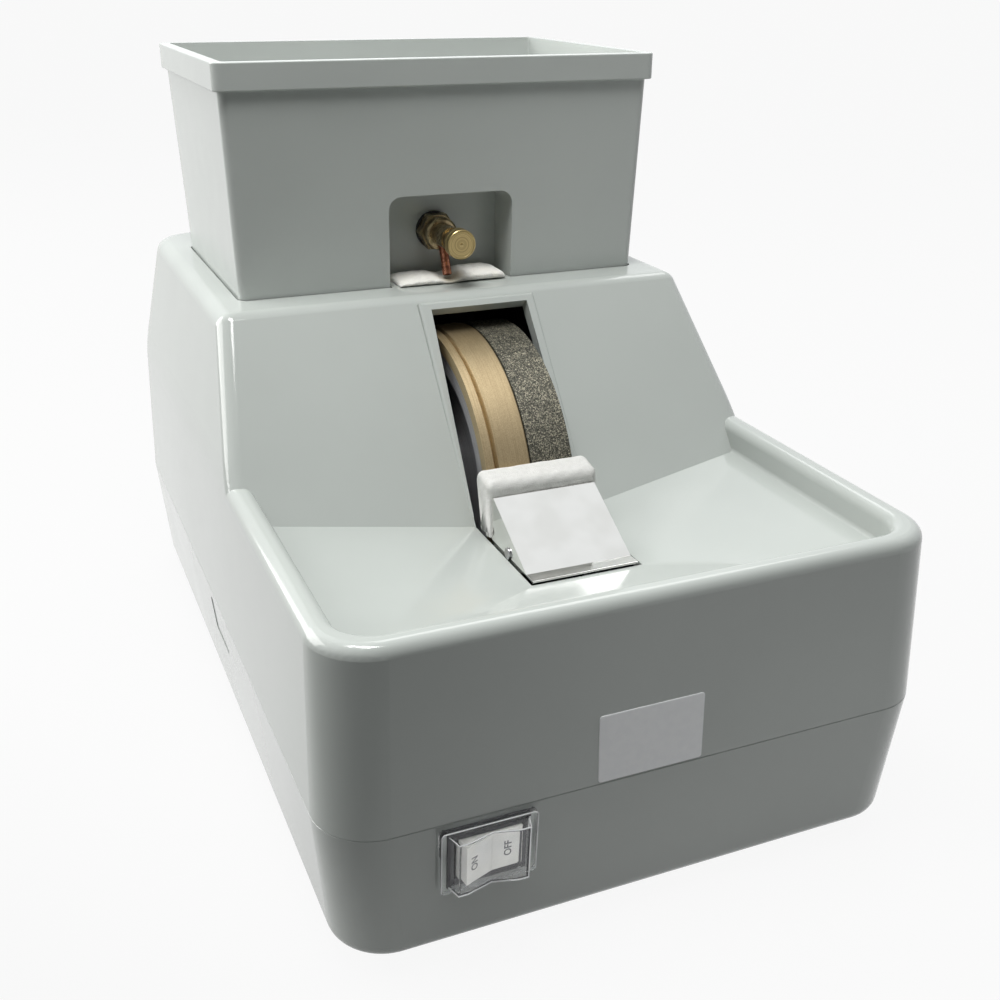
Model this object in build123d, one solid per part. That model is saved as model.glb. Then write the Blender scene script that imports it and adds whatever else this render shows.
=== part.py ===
from build123d import *
import os
from math import atan2, cos, degrees, radians, sin, tan

# A bench machine that grinds the edges of spectacle lenses. All lengths are in millimetres.
# X runs to the right, Y runs to the back and Z up. The sizes below are stated from the front
# face of the housing (depth, Y) and from the underside of the lower shell (height, Z).
# The last function moves every piece so that the whole stands on Z = 0, centred in X and Y.

# Driving sizes
BODY_W = 280.0
BODY_D = 440.0
BASE_H = 64.0
WHEEL_R = 81.0
WHEEL_Y = 215.5
WALL = 4.0
SEAT_GAP = 0.3
RUN_GAP = 0.05
OVERRUN = 60.0
HALF_W = BODY_W / 2

# Splash chamber floor, which the wheels hang over
CHAMBER_T = 3.0
CHAMBER_FLOOR_FRONT = 28.0
CHAMBER_FLOOR_DROP = 11.5
WHEEL_CLEAR = 3.3
CHAMBER_BACK_CLEAR = 2.5
WHEEL_Z = CHAMBER_FLOOR_FRONT + WHEEL_CLEAR + WHEEL_R
CHAMBER_FLOOR_BACK = CHAMBER_FLOOR_FRONT - CHAMBER_FLOOR_DROP
CHAMBER_BACK_Y = WHEEL_Y + WHEEL_R + CHAMBER_BACK_CLEAR + CHAMBER_T
CHAMBER_LEG_R = 6.0
CHAMBER_LEG_INSET = 12.0

# Housing
RIM_OVER_AXLE = 32.7
DECK_RISE = 66.5
RIM_H = WHEEL_Z + RIM_OVER_AXLE
DECK_H = RIM_H + DECK_RISE
DECK_T = 6.0
SLOPE_ANGLE = 49.6
SLOPE = radians(SLOPE_ANGLE)
WHEEL_PROUD = 19.4
SLOPE_FROM_AXLE = WHEEL_R - WHEEL_PROUD
SLOPE_FOOT_Y = WHEEL_Y - (SLOPE_FROM_AXLE - RIM_OVER_AXLE * cos(SLOPE)) / sin(SLOPE)
CORNER_R = 25.0
BASE_DRAFT_X = 5.5
BASE_DRAFT_Y = 4.0
BASE_EDGE_R = 7.0
RIM_INSET_X = 2.5
RIM_INSET_Y = 3.0
DECK_INSET_X = 15.0
DECK_INSET_BACK = 14.0
SIDE_BEND_R = 120.0
TOP_EDGE_R = 8.0
RIM_EDGE_R = 5.5
RIM_INNER_R = 5.0
RIM_T = 12.0
PARTING_CHAMFER = 0.6
TONGUE_T = 2.0
TONGUE_UP = 4.0
LEAN = atan2(BASE_DRAFT_Y, BASE_H)

# Wheels and shaft
RIM_RING_T = 6.0
BEVEL_X0 = -18.5
BEVEL_W = 23.1
WHEEL_SEAM = 0.3
COARSE_W = 21.7
COARSE_X0 = BEVEL_X0 + BEVEL_W + WHEEL_SEAM
PACK_X1 = COARSE_X0 + COARSE_W
GROOVE_FROM_EDGE = 5.4
GROOVE_W = 3.4
GROOVE_DEEP = 2.0
GROOVE_LAND = 0.8
CORE_WEB_T = 12.0
CORE_HUB_R = 30.0
CORE_RIM_T = 9.0
WHEEL_BORE_R = 10.0
FLANGE_R = 34.0
FLANGE_FACE_W = 4.0
FLANGE_CONE = 4.0
OUTER_FLANGE_T = 5.0
INNER_FLANGE_T = 5.0
FLANGE_BOSS_R = 20.0
FLANGE_RELIEF = 1.0
NUT_AF = 30.0
NUT_T = 12.0
NUT_X1 = BEVEL_X0 - OUTER_FLANGE_T
NUT_X0 = NUT_X1 - NUT_T
THREAD_R = 8.0
THREAD_END = 4.0
JOURNAL_R = 12.5
ROTOR_SEAT_R = 14.0
REAR_JOURNAL_R = 8.5
END_CHAMFER = 1.0

# Basin and wheel window
BASIN_WALL = 14.5
BASIN_DEEP = 27.5
FLOOR_EDGE_H = RIM_H - BASIN_WALL
FLOOR_LOW_H = RIM_H - BASIN_DEEP
BASIN_CORNER_R = 16.0
BASIN_SOFT_R = 2.2
MOUTH_CORNER_R = 2.0
MOUTH_LEFT_GAP = 6.5
MOUTH_RIGHT_GAP = 6.4
MOUTH_X0 = BEVEL_X0 - MOUTH_LEFT_GAP
MOUTH_X1 = PACK_X1 + MOUTH_RIGHT_GAP
MOUTH_STEP = 3.2
SLOT_X1 = MOUTH_X1 - MOUTH_STEP
WINDOW_TOP_LEFT_IN = 4.8
WINDOW_TOP_RIGHT_IN = 0.8
WINDOW_TOP_DROP = 9.5
LIP_LEFT = 1.0
LIP_RIGHT = 4.0
LIP_TOP = 4.5
LIP_PROUD = 3.2
LIP_END_PROUD = 0.4

# Motor, from the chamber's right wall to the right
CHAMBER_LEFT_ROOM = 10.5
CHAMBER_RIGHT_ROOM = 6.4
CHAMBER_X0 = NUT_X0 - THREAD_END - CHAMBER_LEFT_ROOM
CHAMBER_X1 = PACK_X1 + INNER_FLANGE_T + CHAMBER_RIGHT_ROOM + CHAMBER_T
SEAL_R = 23.0
SEAL_T = 5.0
SEAL_FLANGE_R = 27.0
SEAL_FLANGE_T = 1.5
MOTOR_STAND_OFF = 8.0
MOTOR_SIDE_ROOM = 14.0
MOTOR_X0 = CHAMBER_X1 + MOTOR_STAND_OFF
MOTOR_X1 = HALF_W - MOTOR_SIDE_ROOM
MOTOR_CLEAR = 4.0
COOL_RIB_H = 1.6
COOL_RIB_W = 3.0
COOL_RIBS = 18
MOTOR_R = SLOPE_FROM_AXLE - WALL - MOTOR_CLEAR - COOL_RIB_H
MOTOR_SHELL_T = 3.0
CAP_D = 12.0
CAP_WEB = 5.0
CAP_HUB_T = 5.0
CAP_EDGE = 2.0
BEARING_LIP = 2.0
BEARING_END_PLAY = 1.0
FRONT_BEARING_R = 26.0
FRONT_BEARING_W = 15.0
REAR_BEARING_R = 20.0
REAR_BEARING_W = 12.0
BEARING_GROOVE = 1.2
FRONT_BEARING_X0 = MOTOR_X0 + BEARING_LIP
FRONT_BEARING_X1 = FRONT_BEARING_X0 + FRONT_BEARING_W
REAR_BEARING_X1 = MOTOR_X1 - BEARING_LIP - BEARING_END_PLAY
REAR_BEARING_X0 = REAR_BEARING_X1 - REAR_BEARING_W
FRONT_HOLE_R = 14.0
ROTOR_FRONT_ROOM = 5.0
ROTOR_REAR_ROOM = 7.0
ROTOR_X0 = FRONT_BEARING_X1 + ROTOR_FRONT_ROOM
ROTOR_X1 = REAR_BEARING_X0 - ROTOR_REAR_ROOM
STATOR_T = 15.0
ROTOR_GAP = 0.6
ROTOR_R = MOTOR_R - MOTOR_SHELL_T - STATOR_T - ROTOR_GAP
ROTOR_RELIEF = 4.0
STATOR_OVER = 2.0
WINDING_OUT = 6.0
WINDING_INSET = 3.0

# Motor bracket
BRACKET_T = 4.0
BRACKET_HEAD_R = MOTOR_R + 4.0
BRACKET_HOLE_R = 30.0
BRACKET_SHORT = 8.0
BRACKET_FOOT_X1 = MOTOR_X1 - BRACKET_SHORT
BRACKET_FOOT_H = 8.0
BRACKET_RIB_T = 3.0
BRACKET_RIB_DROP = 16.0
BRACKET_RIB_X1 = BRACKET_FOOT_X1 - 10.0
SCREW_RING_R = MOTOR_R - 10.0
SCREW_FIRST_ANGLE = 45.0
MOTOR_SCREW_R = 2.5
MOTOR_SCREW_HEAD_R = 4.5
MOTOR_SCREW_HEAD_H = 2.6
MOTOR_SCREW_L = 8.0
MOTOR_SCREW_COUNT = 4
FOOT_HOLE_INSET = 12.0
BOSS_R = 7.0
BRACKET_SCREW_L = 9.0

# Drain
DRAIN_X = 4.0
DRAIN_BORE_R = 8.0
DRAIN_R = 10.0
DRAIN_LIFT = 0.5
DRAIN_H = CHAMBER_FLOOR_BACK + DRAIN_R + DRAIN_LIFT
DRAIN_FLANGE_R = 15.0
DRAIN_FLANGE_T = 2.5
DRAIN_OUT = 20.0
DRAIN_TAIL_R = 9.0
DRAIN_TAIL_L = 19.0
DRAIN_TIP = 1.5
DRAIN_NUT_AF = 28.0
DRAIN_NUT_T = 6.0

# Guard, whose pivot lies in front of the wheels and just over the mouth
PIVOT_AHEAD = 33.0
PIVOT_UP = 2.8
PIVOT_Y = WHEEL_Y - WHEEL_R - PIVOT_AHEAD
PIVOT_H = FLOOR_LOW_H + PIVOT_UP
MOUTH_AHEAD = 27.9
MOUTH_Y0 = PIVOT_Y - MOUTH_AHEAD
CHAMBER_FRONT_Y = MOUTH_Y0 - CHAMBER_T
GUARD_SIDE_GAP = 1.0
GUARD_RIGHT_GAP = 5.0
GUARD_X0 = MOUTH_X0 + GUARD_SIDE_GAP
GUARD_X1 = MOUTH_X1 - GUARD_RIGHT_GAP
GUARD_T = 1.2
GUARD_ANGLE = 29.0
GUARD_LEN = 43.8
GUARD_FOLD_AHEAD = 20.0
GUARD_FOLD_DROP = 1.4
GUARD_LIP_AHEAD = 27.2
GUARD_HEM_R = 0.5
GUARD_LIP_DROP = 1.3
GUARD_RISE = radians(GUARD_ANGLE)
GUARD_LOW_Y = PIVOT_Y - GUARD_FOLD_AHEAD
GUARD_LOW_H = PIVOT_H - GUARD_FOLD_DROP
GUARD_HIGH_Y = GUARD_LOW_Y + GUARD_LEN * cos(GUARD_RISE)
GUARD_HIGH_H = GUARD_LOW_H + GUARD_LEN * sin(GUARD_RISE)
GUARD_BACK_Y = GUARD_HIGH_Y + GUARD_T
CHEEK_DROP = 4.8
CHEEK_AHEAD = 6.5
PIN_R = 2.0
PIN_HEAD_R = 2.7
PIN_HEAD_T = 0.7
PIN_END_GAP = 0.15
EAR_T = 1.5
EAR_GAP = 0.25
EAR_R = 5.0
EAR_BEHIND = 7.0
EAR_W = 12.5
EAR_KNEE_DROP = 18.3
WEB_DROP = 32.3
TAB_TALL = 30.0
EAR_FOOT_Y0 = PIVOT_Y + EAR_BEHIND
EAR_FOOT_Y1 = EAR_FOOT_Y0 + EAR_W
EAR_KNEE_H = PIVOT_H - EAR_KNEE_DROP
WEB_H = PIVOT_H - WEB_DROP
PAD_DROP = 2.0
PAD_FRONT_UP = 7.2
PAD_BACK_UP = 11.2
PAD_WHEEL_GAP = 0.7
PAD_TOUCH_ANGLE = 14.3
PAD_ROUND_R = 4.5
PAD_LEFT_OVER = 1.6
PAD_RIGHT_OVER = 2.6

# Water tank, set back from the ridge
BAND_SETBACK = 17.0
BAND_SIDE_IN = 24.7
BAND_DEEP = 156.0
BAND_PROUD = 2.2
TANK_BAND = 13.0
TANK_TALL = 114.2
TANK_T = 3.0
TANK_DRAFT_X = 5.8
TANK_DRAFT_FRONT = 5.5
TANK_DRAFT_BACK = 12.5
BAND_CORNER_R = 4.5
BAND_SOFT = 0.7
TANK_TOP_CORNER_R = 4.5
TANK_FOOT_CORNER_R = 4.5
SEAT_DEEP = 2.0
TANK_SEAT_GAP = 1.0
BAND_HALF_W = HALF_W - BAND_SIDE_IN
RIDGE_Y = SLOPE_FOOT_Y + DECK_RISE / tan(SLOPE)
BAND_Y0 = RIDGE_Y + BAND_SETBACK
BAND_Y1 = BAND_Y0 + BAND_DEEP
TANK_FOOT_H = DECK_H - SEAT_DEEP
TANK_TOP_H = TANK_FOOT_H + TANK_TALL
TANK_FOOT_HALF_W = BAND_HALF_W - TANK_DRAFT_X
TANK_FOOT_Y0 = BAND_Y0 + TANK_DRAFT_FRONT
TANK_FOOT_Y1 = BAND_Y1 - TANK_DRAFT_BACK

# Tap and its bay in the tank's front
TAP_X = 0.8
TAP_RISE = 23.5
TAP_H = DECK_H + TAP_RISE
TAP_BAY_LEFT = 32.3
TAP_BAY_RIGHT = 35.6
TAP_BAY_DEEP = 28.0
TAP_BAY_OVER = 22.5
TAP_BAY_R = 7.0
TAP_BAY_X0 = TAP_X - TAP_BAY_LEFT
TAP_BAY_X1 = TAP_X + TAP_BAY_RIGHT
TAP_BAY_BACK_Y = BAND_Y0 + TAP_BAY_DEEP
TAP_BAY_TOP_H = TAP_H + TAP_BAY_OVER
TAP_THREAD_R = 5.75
TAP_IN = 9.0
GASKET_R = 10.0
GASKET_T = 1.5
TAP_NUT_AF = 18.0
TAP_NUT_T = 6.5
TAP_COLLAR_R = 8.5
TAP_COLLAR_T = 6.0
TAP_BARREL_R = 6.0
TAP_BARREL_L = 14.0
TAP_NECK_R = 4.8
TAP_NECK_L = 5.0
TAP_GASKET_Y = TAP_BAY_BACK_Y - GASKET_T
TAP_NUT_Y = TAP_GASKET_Y - TAP_NUT_T
TAP_COLLAR_Y = TAP_NUT_Y - TAP_COLLAR_T
TAP_BARREL_Y = TAP_COLLAR_Y - TAP_BARREL_L
TAP_MOUTH_Y = TAP_BARREL_Y - TAP_NECK_L
WATER_WAY_R = 2.2
BACK_NUT_AF = 17.0
BACK_NUT_T = 4.5
KNOB_R = 7.6
KNOB_L = 9.0
KNOB_GAP = 0.4
KNOB_STEM_R = 3.0
KNOB_STEM_L = 12.0
KNOB_RING_DEEP = 0.5
KNOB_RING_W = 1.0
SPOUT_R = 2.4
SPOUT_T = 0.6
SPOUT_LEAN = 23.0
SPOUT_START = 2.0
SPOUT_CLEAR = 1.9

# Drip sponge
SPONGE_SIDE_ROOM = 4.5
SPONGE_FRONT_IN = 0.5
SPONGE_BACK_IN = 1.5
SPONGE_H = 5.2
SPONGE_EDGE_H = 3.2
SPONGE_VALLEY_H = 1.6
SPONGE_X0 = TAP_BAY_X0 + SPONGE_SIDE_ROOM
SPONGE_X1 = TAP_BAY_X1 - SPONGE_SIDE_ROOM
SPONGE_Y0 = BAND_Y0 + SPONGE_FRONT_IN
SPONGE_Y1 = TAP_BAY_BACK_Y - SPONGE_BACK_IN
DRIP_HOLE_R = 7.0
DRIP_HOLE_IN = 11.0
DRIP_HOLE_Y = BAND_Y0 + DRIP_HOLE_IN

# Switch
SWITCH_FROM_SIDE = 64.4
SWITCH_DROP = 18.0
SWITCH_X = SWITCH_FROM_SIDE - HALF_W
SWITCH_H = BASE_H - SWITCH_DROP
SWITCH_WALL_Y = BASE_DRAFT_Y * (1 - SWITCH_H / BASE_H)
BEZEL_W = 35.0
BEZEL_H = 27.0
BEZEL_T = 1.6
SWITCH_W = 31.0
SWITCH_TALL = 22.0
SWITCH_D = 26.0
SWITCH_T = 1.4
SWITCH_FLOOR_D = 17.0
BLADE_W = 6.0
BLADE_T = 0.8
BLADE_L = 9.0
BLADE_PITCH = 10.0
ROCKER_W = 25.6
ROCKER_TALL = 18.6
ROCKER_PIVOT_D = 3.0
ROCKER_PROUD = 4.6
ROCKER_DISH = 2.2
ROCKER_TRAVEL = 20.0
ROCKER_EDGE_D = 1.9
ROCKER_BACK_D = 12.0
SWITCH_PIN_R = 1.4
BOOT_W = 41.0
BOOT_TALL = 31.0
BOOT_FLANGE_T = 1.4
BOOT_SKIN = 1.0
BOOT_HOOD_W = 34.0
BOOT_HOOD_TALL = 26.0
BOOT_PEAK = 8.33
BOOT_VALLEY = 5.6
BOOT_CORNER_R = 2.0
BOOT_FRONT_Y = SWITCH_WALL_Y - BOOT_PEAK * cos(LEAN) - BOOT_HOOD_TALL / 2 * sin(LEAN)

# Feet, posts and screws
FOOT_H = 8.0
FOOT_R = 13.0
FOOT_TAPER = 1.5
FOOT_SIDE_IN = 36.0
FOOT_FRONT_IN = 52.0
FOOT_BACK_IN = 48.0
FOOT_X = HALF_W - FOOT_SIDE_IN
FOOT_Y_BACK = BODY_D - FOOT_BACK_IN
FOOT_SCREW_R = 2.4
FOOT_SCREW_HEAD_R = 4.6
FOOT_SCREW_HEAD_H = 3.0
FOOT_RECESS = 4.5
FOOT_BOSS_H = 9.0
POST_SIDE_IN = 28.0
POST_FRONT_IN = 28.0
POST_BACK_IN = 32.0
POST_X = HALF_W - POST_SIDE_IN
POST_Y_BACK = BODY_D - POST_BACK_IN
POST_R = 6.5
POST_SCREW_R = 2.0
POST_SCREW_HEAD_R = 4.2
POST_SCREW_HEAD_H = 3.2
POST_SCREW_L = 18.0
POST_WELL_DROP = 14.0
POST_WELL_H = BASE_H - POST_WELL_DROP
POST_BORE_R = 5.0

# Rear panel, which the gland and the drain pass through
PANEL_LEFT = 20.0
PANEL_RIGHT = 20.0
PANEL_FLANGE = 8.0
PANEL_LOW = 11.0
PANEL_TALL = 30.0
PANEL_SCREW_R = 1.5
PANEL_SCREW_HEAD_R = 2.8
PANEL_SCREW_HEAD_H = 1.8

# Side latch in the left wall, back of the switch
LATCH_AHEAD = 19.5
LATCH_LOW_L = 33.0
LATCH_TOP_BACK = 7.0
LATCH_TOP_L = 29.0
LATCH_TALL = 17.0
LATCH_DROP = 7.0
LATCH_LOW_Y0 = WHEEL_Y - LATCH_AHEAD
LATCH_TOP_Y0 = LATCH_LOW_Y0 + LATCH_TOP_BACK
LATCH_H1 = BASE_H - LATCH_DROP
LATCH_H0 = LATCH_H1 - LATCH_TALL
LATCH_T = 2.0
LATCH_SUNK = 0.3
LATCH_CORNER_R = 2.5
LATCH_GAP = 0.8

# Cord gland and electrics on the left
GLAND_FROM_SIDE = 56.0
GLAND_X = GLAND_FROM_SIDE - HALF_W
GLAND_H = BASE_H / 2
GLAND_R = 8.0
GLAND_BORE_R = 4.2
GLAND_AF = 22.0
GLAND_HEX_T = 6.0
GLAND_DOME_R = 9.5
GLAND_DOME_L = 7.0
GLAND_OUT = 17.0
GLAND_IN = 12.0
GLAND_NUT_T = 5.0
PANEL_X0 = GLAND_X - PANEL_LEFT
PANEL_X1 = DRAIN_X + PANEL_RIGHT
PANEL_Z0 = WALL + PANEL_LOW
PANEL_Z1 = PANEL_Z0 + PANEL_TALL
CAN_FROM_SIDE = 48.0
CAN_AHEAD = 25.5
CAN_L = 72.0
CAN_R = 17.0
CAN_RIM_L = 3.0
CAN_TAG_L = 7.0
CAN_TAG_W = 5.0
CAN_TAG_T = 0.8
CLIP_T = 1.5
CLIP_W = 18.0
CLIP_WING = 13.0
CAN_X = CAN_FROM_SIDE - HALF_W
CAN_Y0 = WHEEL_Y - CAN_AHEAD
CAN_H = WALL + CLIP_T + CAN_R
TERMINAL_FROM_BACK = 90.0
TERMINAL_Y = BODY_D - TERMINAL_FROM_BACK
TERMINAL_W = 62.0
TERMINAL_D = 20.0
TERMINAL_TALL = 15.0
TERMINAL_WAYS = 6
TERMINAL_HOLE_R = 2.6
TERMINAL_SLOT_R = 2.2

# The whole depth runs from the switch's boot to the drain's tail
FRONT_Y = -(BODY_D + DRAIN_OUT + BOOT_FRONT_Y) / 2


def slope_y(height, inset=0):
    """Depth of the sloped face at a height, drawn in square to the face by inset."""
    return SLOPE_FOOT_Y + (height - RIM_H) / tan(SLOPE) + inset / sin(SLOPE)


def block(x0, x1, y0, y1, z0, z1):
    return Pos((x0 + x1) / 2, (y0 + y1) / 2, (z0 + z1) / 2) * Box(x1 - x0, y1 - y0, z1 - z0)


def along_x(points, x0, x1):
    """A side-view outline of (depth, height) points, carried from x0 to x1."""
    outline = Polyline(*[(x0, y, z) for y, z in points], close=True)
    return extrude(make_face(outline), amount=x1 - x0, dir=(1, 0, 0))


def along_y(points, y0, y1):
    """A front-view outline of (x, height) points, carried from y0 to y1."""
    outline = Polyline(*[(x, y0, z) for x, z in points], close=True)
    return extrude(make_face(outline), amount=y1 - y0, dir=(0, 1, 0))


def rod_x(radius, x0, x1, y=WHEEL_Y, z=WHEEL_Z):
    return Pos((x0 + x1) / 2, y, z) * Rot(0, 90, 0) * Cylinder(radius, x1 - x0)


def rod_y(radius, y0, y1, x, z):
    return Pos(x, (y0 + y1) / 2, z) * Rot(90, 0, 0) * Cylinder(radius, y1 - y0)


def rod_z(radius, z0, z1, x, y):
    return Pos(x, y, (z0 + z1) / 2) * Cylinder(radius, z1 - z0)


def turned_x(points):
    """A body turned about the wheel axis from (x, radius) points."""
    outline = Polyline(*[(x, WHEEL_Y, WHEEL_Z + r) for x, r in points], close=True)
    return revolve(make_face(outline), Axis((0, WHEEL_Y, WHEEL_Z), (1, 0, 0)))


def turned_y(points, x, z):
    """A body turned about an axis along Y from (y, radius) points."""
    outline = Polyline(*[(x, y, z + r) for y, r in points], close=True)
    return revolve(make_face(outline), Axis((x, 0, z), (0, 1, 0)))


def turned_z(points, x, y):
    """A body turned about an upright axis from (radius, z) points."""
    outline = Polyline(*[(x + r, y, z) for r, z in points], close=True)
    return revolve(make_face(outline), Axis((x, y, 0), (0, 0, 1)))


def hex_along(axis, across, length):
    """A hexagon bar from the origin along X or Y."""
    flat = RegularPolygon(across / 2, 6, major_radius=False)
    bar = extrude(flat, amount=length)
    return (Rot(0, 90, 0) if axis == "x" else Rot(-90, 0, 0)) * bar


def edges_where(shape, test):
    return ShapeList([e for e in shape.edges() if test(e)])


def upright(edge):
    """True for an edge that climbs far more than it turns in plan."""
    size = edge.bounding_box().size
    return size.Z > 2 * max(size.X, size.Y)


# Forms shared by the housing's outside and its hollow


def width_outline(inset, top_inset):
    """Front view of the housing over the parting line, with a soft bend at rim height."""
    half_base = HALF_W - inset
    half_rim = HALF_W - RIM_INSET_X - inset
    half_deck = HALF_W - DECK_INSET_X - inset
    points = [
        (-half_base, BASE_H), (half_base, BASE_H), (half_rim, RIM_H),
        (half_deck, DECK_H - top_inset), (-half_deck, DECK_H - top_inset), (-half_rim, RIM_H),
    ]
    face = make_face(Polyline(*[(x, 0, z) for x, z in points], close=True))
    bends = [v for v in face.vertices() if abs(v.Z - RIM_H) < PARTING_CHAMFER]
    return fillet(bends, SIDE_BEND_R)


def width_prism(inset, top_inset):
    return extrude(width_outline(inset, top_inset), amount=BODY_D, dir=(0, 1, 0))


def rear_form(inset, top_inset):
    """The part of the housing behind the sloped face, with rounded back corners."""
    top = DECK_H - top_inset
    side = along_x([
        (slope_y(BASE_H, inset), BASE_H), (slope_y(top, inset), top),
        (BODY_D - DECK_INSET_BACK - inset, top), (BODY_D - RIM_INSET_Y - inset, RIM_H),
        (BODY_D - inset, BASE_H),
    ], -HALF_W, HALF_W)
    form = width_prism(inset, top_inset) & side
    back = edges_where(form, lambda e: upright(e) and e.center().Y > BODY_D - 2 * CORNER_R)
    return fillet(back, CORNER_R - inset)


def front_form(inset):
    """The part of the housing under rim height, with rounded front corners."""
    side = along_x([
        (inset, BASE_H), (RIM_INSET_Y + inset, RIM_H - inset),
        (slope_y(RIM_H, inset) + WALL, RIM_H - inset), (slope_y(RIM_H, inset) + WALL, BASE_H),
    ], -HALF_W, HALF_W)
    form = width_prism(inset, inset) & side
    front = edges_where(form, lambda e: upright(e) and e.center().Y < CORNER_R)
    return fillet(front, CORNER_R - inset)


def ahead_of_slope(inset):
    """All the space in front of the sloped face's plane."""
    low, high = BASE_H, DECK_H + OVERRUN
    return along_x([
        (-OVERRUN, low), (slope_y(low, inset), low), (slope_y(high, inset), high), (-OVERRUN, high),
    ], -HALF_W, HALF_W)


def funnel(drop):
    """The basin's four-sided funnel from its edge down to the mouth, lowered by drop."""
    far = slope_y(DECK_H)
    half = HALF_W - RIM_INSET_X - RIM_T
    near = RIM_INSET_Y + RIM_T
    top = Pos(0, (near + far) / 2, FLOOR_EDGE_H - drop) * RectangleRounded(
        2 * half, far - near, BASIN_CORNER_R)
    mouth = Pos((MOUTH_X0 + SLOT_X1) / 2, (MOUTH_Y0 + far) / 2, FLOOR_LOW_H - drop) * RectangleRounded(
        SLOT_X1 - MOUTH_X0, far - MOUTH_Y0, MOUTH_CORNER_R)
    return loft([mouth, top], ruled=True)


def basin_space():
    """The open space of the basin over its floor and in front of the sloped face."""
    far = slope_y(DECK_H)
    half = HALF_W - RIM_INSET_X - RIM_T
    near = RIM_INSET_Y + RIM_T
    plan = Pos(0, (near + far) / 2, FLOOR_EDGE_H) * RectangleRounded(
        2 * half, far - near, BASIN_CORNER_R)
    upper = extrude(plan, amount=DECK_H - FLOOR_EDGE_H + OVERRUN)
    space = (upper + funnel(0)) & ahead_of_slope(0)
    floor_edge = edges_where(space, lambda e: abs(e.center().Z - FLOOR_EDGE_H) < PARTING_CHAMFER
                             and e.center().Y < slope_y(FLOOR_EDGE_H) - BASIN_SOFT_R)
    return fillet(floor_edge, BASIN_SOFT_R)


def basin_backing():
    """What the hollow of the housing must stay clear of, under the basin and the slope."""
    upper = block(-HALF_W, HALF_W, -OVERRUN, BODY_D, FLOOR_EDGE_H - WALL, DECK_H + OVERRUN)
    return (upper + funnel(WALL)) & ahead_of_slope(WALL)


def on_slope(shape):
    """Stand a shape on the slope: its X stays, its Y runs up the slope, its Z square to it."""
    return Pos(0, RIDGE_Y, DECK_H) * Rot(SLOPE_ANGLE, 0, 0) * shape


def slope_run(height):
    """Distance along the slope from the ridge down to a height."""
    return (DECK_H - height) / sin(SLOPE)


def window_prism():
    """The wheel window, cut square to the slope, wider at its foot."""
    foot = slope_run(FLOOR_LOW_H)
    points = [
        (MOUTH_X0 + WINDOW_TOP_LEFT_IN, -WINDOW_TOP_DROP),
        (MOUTH_X1 - WINDOW_TOP_RIGHT_IN, -WINDOW_TOP_DROP),
        (MOUTH_X1, -foot), (MOUTH_X0, -foot),
    ]
    face = make_face(Polyline(*[(x, y, -2 * WALL) for x, y in points], close=True))
    return on_slope(extrude(face, amount=4 * WALL, dir=(0, 0, 1)))


def lip_frame():
    """The raised lip round the window, which fades out towards the basin floor."""
    top = WINDOW_TOP_DROP - LIP_TOP
    foot = slope_run(FLOOR_LOW_H)
    x0 = MOUTH_X0 - LIP_LEFT
    face = make_face(Polyline(
        (x0, -top, -WALL), (x0, -top, LIP_PROUD), (x0, -foot, LIP_END_PROUD), (x0, -foot, -WALL),
        close=True))
    bar = extrude(face, amount=MOUTH_X1 + LIP_RIGHT - x0, dir=(1, 0, 0))
    outer = edges_where(bar, lambda e: e.center().Z > 0 and (
        e.bounding_box().size.Y > foot / 2 or e.center().Y > -2 * top))
    return on_slope(fillet(outer, LIP_PROUD / 2))


def tank_foot_plan(grow, height):
    width = 2 * (TANK_FOOT_HALF_W + grow)
    depth = TANK_FOOT_Y1 - TANK_FOOT_Y0 + 2 * grow
    plan = RectangleRounded(width, depth, TANK_FOOT_CORNER_R + grow)
    return Pos(0, (TANK_FOOT_Y0 + TANK_FOOT_Y1) / 2, height) * plan


def tank_seat():
    """The shallow seat of the tank in the deck, less the ledge that stays under the tap."""
    seat = extrude(tank_foot_plan(TANK_SEAT_GAP, TANK_FOOT_H), amount=OVERRUN)
    ledge = block(TAP_BAY_X0 + TANK_SEAT_GAP, TAP_BAY_X1 - TANK_SEAT_GAP, 0,
                  TAP_BAY_BACK_Y - TANK_SEAT_GAP, TANK_FOOT_H - WALL, DECK_H + OVERRUN)
    return seat - ledge


def corner_places(x, y_front, y_back):
    return [(sx * x, y) for sx in (-1, 1) for y in (y_front, y_back)]


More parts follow.
